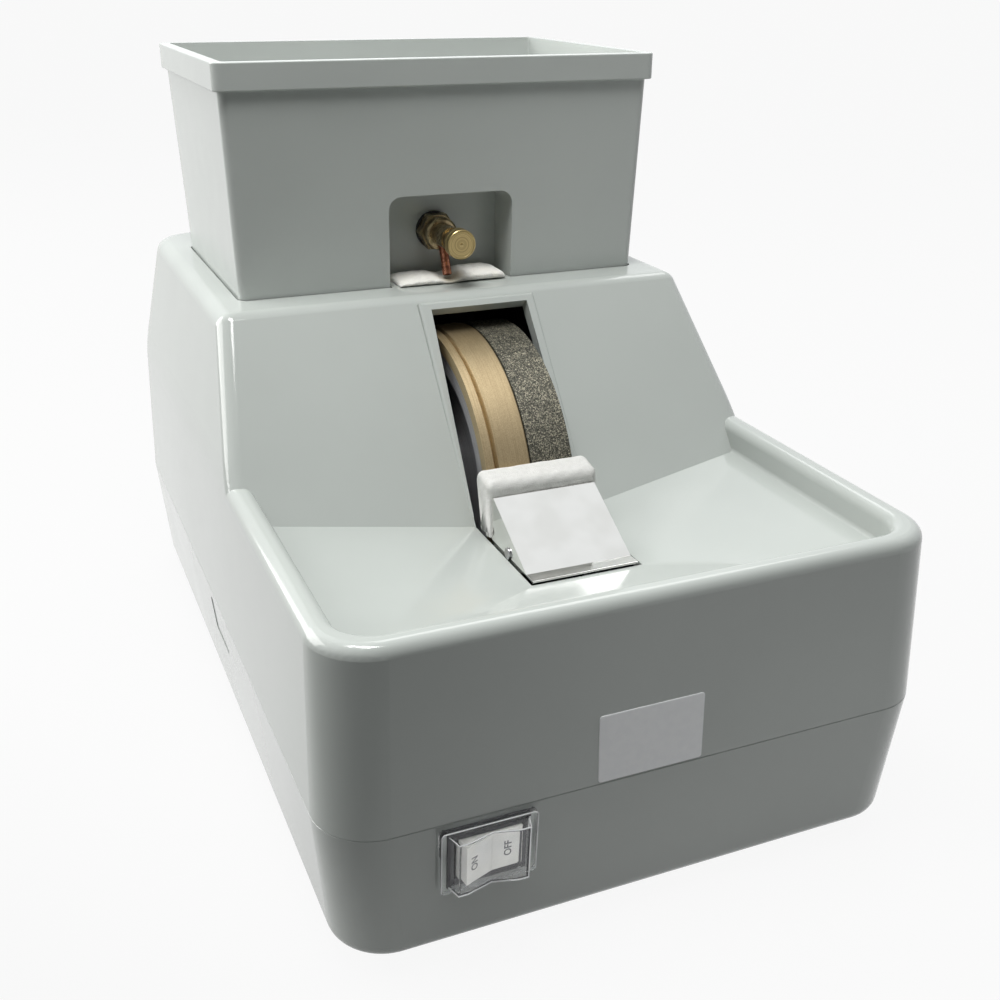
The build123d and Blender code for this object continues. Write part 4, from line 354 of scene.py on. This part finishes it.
film = worn_finish(
    "plate_film", (0.72, 0.74, 0.76), 0.32, (260, 3), (0.845, 0.855, 0.865), (0.87, 0.88, 0.885),
    1.5e-6, grain=(2600, 2), more=(("Coat Weight", 0.4), ("Coat Roughness", 0.12)))
plate_up = (0, math.sin(front_lean), math.cos(front_lean))
plate_edge = (
    (0, -0.0001), (0, 0.0003), (0.0001, 0.00045), (0.00035, 0.00052), (0.0008, 0.00054))
plate_rings = []
for draw, lift in plate_edge:
    left, right = plate_left + draw, plate_right - draw
    low, high = plate_low - front_foot_z + draw, plate_high - front_foot_z - draw
    flat = rounded_outline(
        [(left, low), (right, low), (right, high), (left, high)], [plate_corner - draw / 2] * 4)
    plate_rings.append(
        on_plane(flat, (0, front_foot_y, front_foot_z), (1, 0, 0), plate_up, lift))
skin("front_plate", np.stack(plate_rings), "housing", film)

# The water tank is moulded in a slightly paler grey than the housing, and is a little less
# glossy. It lifts off its seat in the deck with everything that is screwed to it.
tank_plastic = moulded("tank_plastic", (0.525, 0.556, 0.534), 0.16, 0.24, 0.0005)
dress(tank_plastic, "water_tank")

# The tap is turned brass that has darkened in the wet: a hex nut against the tank,
# a collar and a barrel, and a thin copper tube bent down over the sponge.
brass = worn_finish(
    "aged_brass", (0.30, 0.215, 0.10), 0.34, (240, 5), (0.17, 0.135, 0.080), (0.46, 0.365, 0.215),
    6e-6, 1.0, ends=(0.3, 0.72), rough=(0.46, 0.24), grain=(6000, 2, (0.05, 1, 0.05)))
dress(brass, "tap_hex_nut", "tap_body", "tap_back_nut")
copper = worn_finish(
    "tube_copper", (0.42, 0.16, 0.09), 0.27, (420, 4), (0.20, 0.075, 0.045), (0.58, 0.25, 0.15),
    1.2e-5, 1.0, ends=(0.3, 0.7), rough=(0.4, 0.2))
dress(copper, "tap_spout")

# The tap's knob is a turned brass button on a thin stem. Its face was left bright from the
# lathe, slightly hollow inside a raised edge, with fine rings and a centre mark.
knob_low, knob_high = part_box("tap_knob")
knob_x, knob_z = (knob_low.x + knob_high.x) / 2, (knob_low.z + knob_high.z) / 2
knob_r = (knob_high.x - knob_low.x) / 2
knob_length = 0.009
stem_r = 0.003
pole_r = 0.00002


def turned(name, profile, centre, body, material, around=96, sharp=30):
    """A profile of (y, radius) turned about the line along Y through centre (x, z)."""
    profile = np.asarray(profile, float)
    turn = np.linspace(0, 2 * math.pi, around, endpoint=False)
    rings = np.empty((len(profile), around, 3))
    rings[..., 0] = centre[0] + profile[:, 1:] * np.cos(turn)
    rings[..., 1] = profile[:, :1]
    rings[..., 2] = centre[1] + profile[:, 1:] * np.sin(turn)
    return skin(name, rings, body, material, sharp)


def lathe_rings(tree, where, centre, across, per_metre):
    """Fine rings round an axis: noise in the distance from it, measured on the axes across."""
    flatten = tree.nodes.new("ShaderNodeMapping")
    flatten.inputs["Location"].default_value = [-c for c in centre]
    flatten.inputs["Scale"].default_value = across
    far = tree.nodes.new("ShaderNodeVectorMath")
    far.operation = "LENGTH"
    noise = tree.nodes.new("ShaderNodeTexNoise")
    noise.noise_dimensions = "1D"
    noise.inputs["Scale"].default_value = per_metre
    noise.inputs["Detail"].default_value = 3
    feed(tree, flatten.inputs["Vector"], where)
    feed(tree, far.inputs[0], flatten.outputs[0])
    feed(tree, noise.inputs["W"], far.outputs["Value"])
    return noise.outputs["Fac"]


bright, bright_tree, bright_shader, bright_at = finish_of(
    "bright_brass", (0.55, 0.40, 0.19), 0.30, 1.0)
bright_rings = lathe_rings(bright_tree, bright_at, (knob_x, 0, knob_z), (1, 0, 1), 1500)
tint(bright_tree, bright_shader, bright_rings, (0.34, 0.255, 0.112), (0.60, 0.47, 0.23), 0.3, 0.7)
bright_cut = relief(bright_tree, bright_shader, bright_rings, 1.4e-5)
relief(bright_tree, bright_shader, mottle(bright_tree, bright_at, 300, 4), 1e-5, bright_cut)
knob_face = [
    (0.0010, pole_r), (0.0006, 0.0005), (0.00035, 0.0009), (0.00035, knob_r - 0.0013),
    (0.0001, knob_r - 0.0010), (0, knob_r - 0.0007), (0.0001, knob_r - 0.0003),
    (0.0004, knob_r - 0.00005)]
knob_side = [
    (0.0009, knob_r), (0.0030, knob_r), (0.0032, knob_r - 0.0004), (0.0039, knob_r - 0.0004),
    (0.0041, knob_r), (0.0064, knob_r), (0.0070, knob_r - 0.0003), (0.0086, knob_r - 0.0024),
    (knob_length, knob_r - 0.0028), (knob_length, stem_r)]
knob_stem = [
    (knob_high.y - 0.0003, stem_r), (knob_high.y, stem_r - 0.0003), (knob_high.y, pole_r)]
knob = turned(
    "tap_button", [(knob_low.y + y, r) for y, r in knob_face + knob_side] + knob_stem,
    (knob_x, knob_z), "tap_handle", bright)
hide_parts("tap_knob")

# Black rubber is moulded into the tap's gasket, the machine's feet and the lip seal on the
# shaft. It is matt and a little dusty.
rubber = worn_finish(
    "black_rubber", (0.022, 0.022, 0.023), 0.62, (600, 4), (0.014, 0.014, 0.015),
    (0.040, 0.040, 0.041), 2e-5)
dress(rubber, "tap_gasket", "rubber_feet", "shaft_seal")

# A strip of white sponge lies on the deck under the spout and feeds the wheels. It is
# pressed down where the tube drips on it and stained a little there.
sponge_low, sponge_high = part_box("drip_sponge")
drip_spot = (0.002, sponge_low.y + 0.006, sponge_low.z + 0.001)
lobe_height, lobe_excess, left_fall = 0.0044, 0.0007, 0.0006
dip_x, dip_width, dip_depth = 0.0012, 0.0058, 0.0031


def soft_strip(name, crown, low, high, body, material, along=120, around=64):
    """A soft strip on a flat seat, in section a boxy superellipse, drawn in at both ends.

    At a share u from -1 to 1 along X the end factor e is (1 - |u|^7)^(1/3), the height is
    crown(x) (0.25 + 0.75 e), the half width is the seat's times 0.86 + 0.14 e, and the section
    is |y|^3.2 + |z|^3.2 = 1. Waves of 0.2 mm make it uneven."""
    blunt, boxy, wave, inset = 7, 3.2, 0.00022, 0.0004
    u = np.linspace(-1, 1, along)[:, None]
    turn = np.linspace(0, 2 * math.pi, around, endpoint=False)[None, :]
    ends = np.maximum(1 - np.abs(u) ** blunt, 1e-4) ** (1 / 3)
    x = (low[0] + high[0]) / 2 + u * (high[0] - low[0]) / 2
    power = 2 / boxy
    across = np.sign(np.cos(turn)) * np.abs(np.cos(turn)) ** power
    upper = np.sign(np.sin(turn)) * np.abs(np.sin(turn)) ** power
    tall = crown(x) * (0.25 + 0.75 * ends)
    uneven = wave * np.sin(x * 610 + 2 * turn) * np.sin(3 * turn + x * 330)
    half = (high[1] - low[1]) / 2 * (0.86 + 0.14 * ends)
    rings = np.empty((along, around, 3))
    rings[..., 0] = x
    rings[..., 1] = (low[1] + high[1]) / 2 + (half - inset) * across + uneven * across
    rings[..., 2] = low[2] + tall * (1 + upper) / 2 + uneven * np.maximum(upper, 0)
    rings[..., 2] = np.clip(rings[..., 2], low[2], high[2])
    return skin(name, rings, body, material, 180)


def sponge_crown(x):
    """Height over the deck: two lobes 5 mm high with a dip 3 mm deep under the spout.

    The dip is a bell exp(-((x - 1.2 mm) / 5.8 mm)^2), and the right lobe is the fuller one."""
    dip = np.exp(-((x - dip_x) / dip_width) ** 2)
    lobes = lobe_height + lobe_excess * np.tanh((x - 0.001) / 0.01)
    return lobes - dip_depth * dip - left_fall * np.clip(-x / 0.026, 0, 1) ** 2


def cells(tree, where, per_metre):
    """Closed cells, so many to the metre: their distances and their colours."""
    pores = tree.nodes.new("ShaderNodeTexVoronoi")
    pores.inputs["Scale"].default_value = per_metre
    feed(tree, pores.inputs["Vector"], where)
    return pores.outputs


cell, cell_tree, cell_shader, cell_at = finish_of("white_sponge", (0.84, 0.83, 0.77), 0.95)
cell_near = cell_tree.nodes.new("ShaderNodeVectorMath")
cell_near.operation = "DISTANCE"
cell_near.inputs[1].default_value = drip_spot
feed(cell_tree, cell_near.inputs[0], cell_at)
cell_dry = rise(cell_tree, cell_near.outputs["Value"], 0.001, 0.013, 0.0, 1.0, "LINEAR")
tint(cell_tree, cell_shader, cell_dry, (0.58, 0.52, 0.39), (0.87, 0.86, 0.81), 0.0, 0.8)
cell_soft = relief(cell_tree, cell_shader, mottle(cell_tree, cell_at, 260, 3), 0.0004)
cell_pores = cells(cell_tree, cell_at, 1500)
relief(cell_tree, cell_shader, cell_pores["Distance"], 0.00025, cell_soft)
cell_shader.inputs["Subsurface Weight"].default_value = 0.15
cell_shader.inputs["Subsurface Radius"].default_value = (0.0015, 0.0014, 0.0012)
sponge = soft_strip(
    "wet_sponge", sponge_crown, sponge_low, sponge_high, "housing", cell)
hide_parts("drip_sponge")

# The finishing ring is brass with fine diamond. It was trued on the lathe, so it shines in fine
# lines round the wheel, with a V groove near its outer edge. Painted shade darkens it at the seam
# with the next ring, as the shade in the gap between them.
wheel_y, wheel_z = -0.0105, 0.1203
seam_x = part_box("bevel_wheel_rim")[1].x


def painted_seam_shade(tree, shader, ramp, edge, width, least):
    """Painted shade that darkens a ramp's colour towards a plane across X, within so many metres
    of it, as the shade in a gap there.

    The colour is multiplied by a share that falls to least at the plane."""
    away = reckon(tree, "ABSOLUTE", reckon(tree, "SUBTRACT", axes_of(tree, "Object")["X"], edge))
    shade = tree.nodes.new("ShaderNodeVectorMath")
    shade.operation = "SCALE"
    feed(tree, shade.inputs[0], ramp.outputs[0])
    feed(tree, shade.inputs["Scale"], rise(tree, away, 0.0, width, least, 1.0))
    feed(tree, shader.inputs["Base Color"], shade.outputs[0])


ring, ring_tree, ring_shader, ring_at = finish_of("ring_brass", (0.60, 0.46, 0.27), 0.36, 1.0)
ring_grain = mottle(ring_tree, ring_at, 2300, 3, (1.5, 1, 1))
ring_lines = mottle(ring_tree, ring_at, 1, 3, (1500, 40, 40))
ring_both = reckon(
    ring_tree, "MULTIPLY_ADD", ring_grain, 0.7, reckon(ring_tree, "MULTIPLY", ring_lines, 0.3))
ring_ramp = tint(
    ring_tree, ring_shader, ring_both, (0.395, 0.300, 0.172), (0.595, 0.478, 0.30), 0.32, 0.68)
gloss(ring_tree, ring_shader, ring_grain, 0.40, 0.54)
ring_cut = relief(ring_tree, ring_shader, ring_lines, 3e-6)
relief(ring_tree, ring_shader, ring_grain, 1.6e-5, ring_cut)
# Painted shade: the seam with the roughing ring is darkened as the shade in the gap.
painted_seam_shade(ring_tree, ring_shader, ring_ramp, seam_x, 0.0011, 0.03)
dress(ring, "bevel_wheel_rim")

# The roughing ring is coarse diamond set in nickel on the second disc. Its dark grains carry gold
# and white glints, and painted shade darkens it at the seam too, as the shade in the gap between
# the rings.
grit, grit_tree, grit_shader, grit_at = finish_of("coarse_grit", (0.20, 0.19, 0.15), 0.42, 0.7)
grit_cells = cells(grit_tree, grit_at, 2200)
grit_split = grit_tree.nodes.new("ShaderNodeSeparateColor")
feed(grit_tree, grit_split.inputs[0], grit_cells["Color"])
grit_shade, grit_shine, grit_height = grit_split.outputs
grit_ramp = tint(
    grit_tree, grit_shader, grit_shade, (0.048, 0.048, 0.040), (0.40, 0.372, 0.282), 0.15, 0.98)
grit_ramp.color_ramp.elements.new(0.6).color = (0.128, 0.123, 0.097, 1)
gloss(grit_tree, grit_shader, grit_shine, 0.28, 0.6)
grit_low = relief(grit_tree, grit_shader, grit_cells["Distance"], 0.00018)
relief(grit_tree, grit_shader, grit_height, 0.00010, grit_low)
# Painted shade: the seam with the finishing ring is darkened as the shade in the gap.
painted_seam_shade(grit_tree, grit_shader, grit_ramp, seam_x, 0.0008, 0.06)
dress(grit, "coarse_wheel_rim")

# The discs that carry the two rings are turned steel, with fine lines round the shaft under a
# thin dull oxide that is nearly neutral grey.
disc, disc_tree, disc_shader, disc_at = finish_of("oxide_steel", (0.30, 0.295, 0.33), 0.40, 0.35)
disc_rings = lathe_rings(disc_tree, disc_at, (0, wheel_y, wheel_z), (0, 1, 1), 1800)
tint(disc_tree, disc_shader, disc_rings, (0.29, 0.29, 0.305), (0.58, 0.58, 0.595))
relief(disc_tree, disc_shader, disc_rings, 8e-6)
dress(disc, "bevel_wheel_core", "coarse_wheel_core")

# Flanges, nut, shaft, pins and bearings are bare steel from the lathe, with its lines round
# them and a few water marks. The nut draws the flanges against the two discs.
steel = worn_finish(
    "turned_steel", (0.50, 0.51, 0.53), 0.30, (130, 4), (0.36, 0.35, 0.34), (0.57, 0.58, 0.60),
    7e-6, 1.0, ends=(0.3, 0.6), rough=(0.42, 0.24), grain=(1, 3, (3200, 40, 40)))
dress(steel, "outer_flange", "inner_flange", "wheel_nut", "motor_shaft", "guard_pin",
      "switch_pin", "front_bearing", "rear_bearing")

# The splash guard is one bent sheet of polished stainless steel, folded over at its front
# lip. It mirrors the room, with light scuffs from wiping.
mirror, mirror_tree, mirror_shader, mirror_at = finish_of(
    "polished_stainless", (0.86, 0.86, 0.86), 0.09, 1.0)
mirror_wipe = mottle(mirror_tree, mirror_at, 1, 3, (90, 700, 700))
gloss(mirror_tree, mirror_shader, mirror_wipe, 0.07, 0.12)
mirror_tone = mottle(mirror_tree, mirror_at, 45, 2)
tint(mirror_tree, mirror_shader, mirror_tone, (0.76, 0.755, 0.73), (0.82, 0.815, 0.795))
mirror_slow = relief(mirror_tree, mirror_shader, mottle(mirror_tree, mirror_at, 30, 1), 0.0004)
relief(mirror_tree, mirror_shader, mirror_wipe, 4e-7, mirror_slow)
dress(mirror, "guard_plate")

# The channel that holds the guard's pin, the capacitor's clip and all the screws are zinc
# plated steel, with the soft spangle that the plating leaves.
plated = worn_finish(
    "zinc_plate", (0.56, 0.57, 0.58), 0.34, (160, 4), (0.44, 0.45, 0.47), (0.66, 0.66, 0.65),
    4e-6, 1.0, rough=(0.42, 0.26), grain=(1400, 2))
dress(plated, "guard_bracket", "motor_screws", "bracket_screws", "foot_screws",
      "housing_screws", "panel_screws", "capacitor_clip")

# A white foam pad is glued behind the guard, close to the wheels. It wipes the spray off
# them, and its top is rolled round.
pad_low, pad_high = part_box("guard_pad")
pad_touch = math.radians(14.3)
pad_clear = 0.0818
pad_touch_y = wheel_y - pad_clear * math.cos(pad_touch)
pad_touch_z = wheel_z + pad_clear * math.sin(pad_touch)
pad_front_top = pad_high.z - 0.004
pad_corners = [0.0012, 0.0015, 0.0054, 0.0046]
pad_end_round, pad_dent = 0.0032, 0.00012
pad_stations = 110


def pad_back(z):
    """Depth of the pad's back plane, which leans with the wheel, at height z."""
    return pad_touch_y + (z - pad_touch_z) * math.tan(pad_touch)


def foam_block(outline, low, high, round_off, dent, stations):
    """Rings of a rounded outline in Y and Z carried along X from low to high.

    Near each end the outline draws in along its own normals by a quarter circle,
    r (1 - sqrt(1 - (1 - d / r)^2)) at a distance d from the end, and shallow waves dent it."""
    ways = np.roll(outline, -1, 0) - np.roll(outline, 1, 0)
    out = np.stack([ways[:, 1], -ways[:, 0]], 1)
    out /= np.maximum(np.linalg.norm(out, axis=1, keepdims=True), 1e-9)
    u = np.linspace(0, 1, stations)[:, None]
    x = low + (high - low) * (0.5 - 0.5 * np.cos(math.pi * u))
    near = np.minimum(x - low, high - x)
    draw = round_off * (1 - np.sqrt(1 - (1 - np.clip(near / round_off, 0, 1)) ** 2))
    turn = np.linspace(0, 2 * math.pi, len(outline), endpoint=False)[None, :]
    dents = dent * (1 + np.sin(x * 420 + 2 * turn) * np.sin(x * 170 + 3 * turn))
    rings = np.empty((stations, len(outline), 3))
    rings[..., 0] = x
    rings[..., 1:] = outline - out * (draw + dents)[..., None]
    return rings


foam, foam_tree, foam_shader, foam_at = finish_of("white_foam", (0.78, 0.78, 0.76), 0.92)
foam_tone = mottle(foam_tree, foam_at, 420, 3)
tint(foam_tree, foam_shader, foam_tone, (0.60, 0.60, 0.58), (0.64, 0.64, 0.62))
foam_soft = relief(foam_tree, foam_shader, foam_tone, 0.00014)
foam_pores = cells(foam_tree, foam_at, 2200)
relief(foam_tree, foam_shader, foam_pores["Distance"], 0.00016, foam_soft)
foam_shader.inputs["Subsurface Weight"].default_value = 0.12
foam_shader.inputs["Subsurface Radius"].default_value = (0.0015, 0.0015, 0.0015)
pad_outline = rounded_outline(
    [(pad_low.y, pad_low.z), (pad_back(pad_low.z), pad_low.z),
     (pad_back(pad_high.z), pad_high.z), (pad_low.y, pad_front_top)], pad_corners, 14)
pad_rings = foam_block(
    pad_outline, pad_low.x, pad_high.x, pad_end_round, pad_dent, pad_stations)
pad = skin("foam_pad", pad_rings, "guard", foam, 180)
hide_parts("guard_pad")

# The power switch snaps into the lower shell: a black frame with a white rocker. Its two
# ends are marked with printed letters, which ride on the rocker. The plate in the back wall,
# the drain's tail and the cord's gland are moulded in the same black, the terminals in white.
black = worn_finish(
    "black_nylon", (0.030, 0.030, 0.034), 0.42, (900, 3), (0.022, 0.022, 0.026),
    (0.042, 0.042, 0.047), 1e-5)
dress(black, "switch_body", "rear_panel", "drain_spigot", "drain_nut", "cord_gland", "gland_nut")
white = worn_finish(
    "white_nylon", (0.86, 0.86, 0.82), 0.34, (120, 3), (0.83, 0.825, 0.775),
    (0.89, 0.885, 0.84), 3e-6, grain=(1800, 2))
dress(white, "switch_rocker", "terminal_block")
ink = worn_finish(
    "letter_ink", (0.10, 0.10, 0.105), 0.55, (2600, 3), (0.07, 0.07, 0.075),
    (0.17, 0.17, 0.175))
switch_place = (-0.0756, -0.224875, 0.054)
switch_lean = math.atan2(4, 64)
switch_front = Matrix.Translation(switch_place) @ Matrix.Rotation(switch_lean, 4, "X")
rocker_half, rocker_front, rocker_dish, rocker_pivot = 0.0128, 0.0046, 0.0022, 0.003
rocker_press = math.radians(10)
letters_size, letters_thick, letters_bold = 0.0044, 0.00003, 0.00009


def letters(name, words, share):
    """Printed letters on one half of the rocker, read upwards, at a share of its half width.

    They lie on the rocker's face, -front + dish (1 - |share|) deep, which slopes to its
    middle, and turn about its pivot with the end that is pressed in."""
    text = bpy.data.curves.new(name, "FONT")
    text.body = words
    text.size, text.extrude, text.offset = letters_size, letters_thick, letters_bold
    text.align_x, text.align_y = "CENTER", "CENTER"
    loose = bpy.data.objects.new(name + "_text", text)
    bpy.context.scene.collection.objects.link(loose)
    bpy.context.view_layer.update()
    mesh = bpy.data.meshes.new_from_object(loose)
    bpy.data.objects.remove(loose)
    slope = math.atan2(rocker_dish, rocker_half) * (-1 if share > 0 else 1)
    upright = Matrix(((0, -1, 0), (0, 0, -1), (1, 0, 0))).to_4x4()
    point = Vector((share * rocker_half, -rocker_front + rocker_dish * (1 - abs(share)), 0))
    face = Matrix.Translation(point) @ Matrix.Rotation(slope, 4, "Z") @ upright
    pivot = Matrix.Translation((0, rocker_pivot, 0))
    press = pivot @ Matrix.Rotation(rocker_press, 4, "Z") @ pivot.inverted()
    mesh.transform(switch_front @ press @ face)
    mesh.materials.clear()
    mesh.materials.append(ink)
    piece = bpy.data.objects.new(name, mesh)
    bpy.context.scene.collection.objects.link(piece)
    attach(piece, "rocker")


letters("letters_off", "OFF", 0.54)
letters("letters_on", "ON", -0.69)

# A clear soft boot covers the switch against splashes: a flat frame and a hood with two
# peaks over the rocker, pressed from vinyl sheet.
vinyl = worn_finish(
    "clear_vinyl", (0.93, 0.93, 0.94), 0.06, (90, 3), (0.93, 0.935, 0.95),
    (0.985, 0.985, 0.985), 0.00008, rough=(0.03, 0.10), grain=(150, 2),
    more=(("Transmission Weight", 0.97), ("IOR", 1.33)))
dress(vinyl, "switch_boot")

# The folds of the boot are pressed thick and milky. Fine white beads run along both peaked edges
# of the hood, up its right side and round three sides of the frame: partly the milky vinyl of
# these folds and partly painted highlight for the light their edges catch.
milky_highlight = worn_finish(
    "milky_vinyl_highlight", (0.92, 0.93, 0.94), 0.14, (160, 3), (0.88, 0.885, 0.89),
    (0.98, 0.985, 0.985), 0.00004, more=(("Transmission Weight", 0.12),))
hood_x, hood_z, hood_peak_x, hood_flat = 0.017, 0.0128, 0.015, 0.004
hood_base_y, hood_peak_y, hood_valley_y = -0.0016, -0.0079, -0.0053
hood_rounds, valley_round = [0.0004, 0.0005, 0.0008], 0.002
frame_x, frame_z, frame_y, frame_round = 0.0203, 0.0153, -0.003, 0.0018
low_bead_r, high_bead_r, side_bead_r, frame_bead_r = 0.0004, 0.00024, 0.00036, 0.0003


def bead(name, path, square, radius):
    """A round bead along an open path of points about the switch's own centre.

    Ring i is path[i] + radius (cos a across + sin a along), both square to the path there."""
    path = np.asarray(path, float)
    ways = np.gradient(path, axis=0)
    across = np.cross(ways, square)
    along = np.cross(across, ways)
    across /= np.linalg.norm(across, axis=1, keepdims=True)
    along /= np.linalg.norm(along, axis=1, keepdims=True)
    a = np.linspace(0, 2 * math.pi, 10, endpoint=False)[None, :, None]
    rings = path[:, None] + radius * (np.cos(a) * across[:, None] + np.sin(a) * along[:, None])
    front = np.asarray(switch_front)
    skin(name, rings @ front[:3, :3].T + front[:3, 3], "housing", milky_highlight)


def open_path(corners, radii):
    """A rounded outline without its closing side: it starts past the middle of its first
    corner's arc of 7 points and ends before the middle of its last."""
    return rounded_outline(corners, radii)[4:-4]


hood_path = open_path(
    [(-hood_x, hood_base_y), (-hood_peak_x, hood_peak_y), (hood_flat - hood_peak_x, hood_peak_y),
     (0, hood_valley_y), (hood_peak_x - hood_flat, hood_peak_y), (hood_peak_x, hood_peak_y),
     (hood_x, hood_base_y)], hood_rounds + [valley_round] + hood_rounds[::-1])
frame_path = open_path(
    [(-frame_x, -frame_z), (-frame_x, frame_z), (frame_x, frame_z), (frame_x, -frame_z)],
    [frame_round] * 4)
side_heights = np.linspace(-hood_z, hood_z, 9)
# Painted highlight: these milky white beads stand in, in part, for the light that the boot's
# edges catch.
bead("hood_bead_low", np.insert(hood_path, 2, -hood_z, axis=1), (0, 0, 1), low_bead_r)
bead("hood_bead_high", np.insert(hood_path, 2, hood_z, axis=1), (0, 0, 1), high_bead_r)
bead("side_bead_front", [(hood_peak_x, hood_peak_y, z) for z in side_heights], (0, 1, 0),
     side_bead_r)
bead("side_bead_back", [(hood_x, hood_base_y, z) for z in side_heights], (0, 1, 0), side_bead_r)
bead("frame_bead", np.insert(frame_path, 1, frame_y, axis=1), (0, 1, 0), frame_bead_r)

# The motor sits on the right under the shell: a cast aluminium barrel between two caps,
# wound iron inside, on a folded bracket painted grey.
alloy = worn_finish(
    "cast_alloy", (0.50, 0.51, 0.52), 0.46, (700, 4), (0.42, 0.43, 0.44), (0.57, 0.58, 0.59),
    3e-5, 1.0)
dress(alloy, "motor_shell", "motor_front_cap", "motor_rear_cap")
iron = worn_finish(
    "stacked_iron", (0.17, 0.16, 0.155), 0.5, (1, 2, (1900, 60, 60)), (0.11, 0.10, 0.098),
    (0.24, 0.225, 0.215), 4e-5, 0.9)
dress(iron, "rotor", "stator")
paint = worn_finish(
    "grey_enamel", (0.16, 0.165, 0.17), 0.38, (420, 3), (0.14, 0.145, 0.15),
    (0.19, 0.195, 0.20), 1.5e-5)
dress(paint, "motor_bracket")

# The motor's capacitor is a deep drawn aluminium can, held down by its clip. The drawing
# leaves fine lines along it.
foil = worn_finish(
    "drawn_can", (0.60, 0.61, 0.63), 0.28, (1, 3, (2400, 25, 2400)), (0.53, 0.54, 0.56),
    (0.67, 0.68, 0.70), 4e-6, 1.0)
dress(foil, "capacitor")

# The splash chamber is moulded in black plastic round the lower half of the wheels. It is wet
# inside, and drains out of the back.
chamber = worn_finish(
    "chamber_black", (0.026, 0.026, 0.028), 0.36, (60, 5), (0.018, 0.018, 0.020),
    (0.058, 0.057, 0.055), 0.0001, ends=(0.4, 0.75), rough=(0.25, 0.55))
dress(chamber, "splash_chamber")
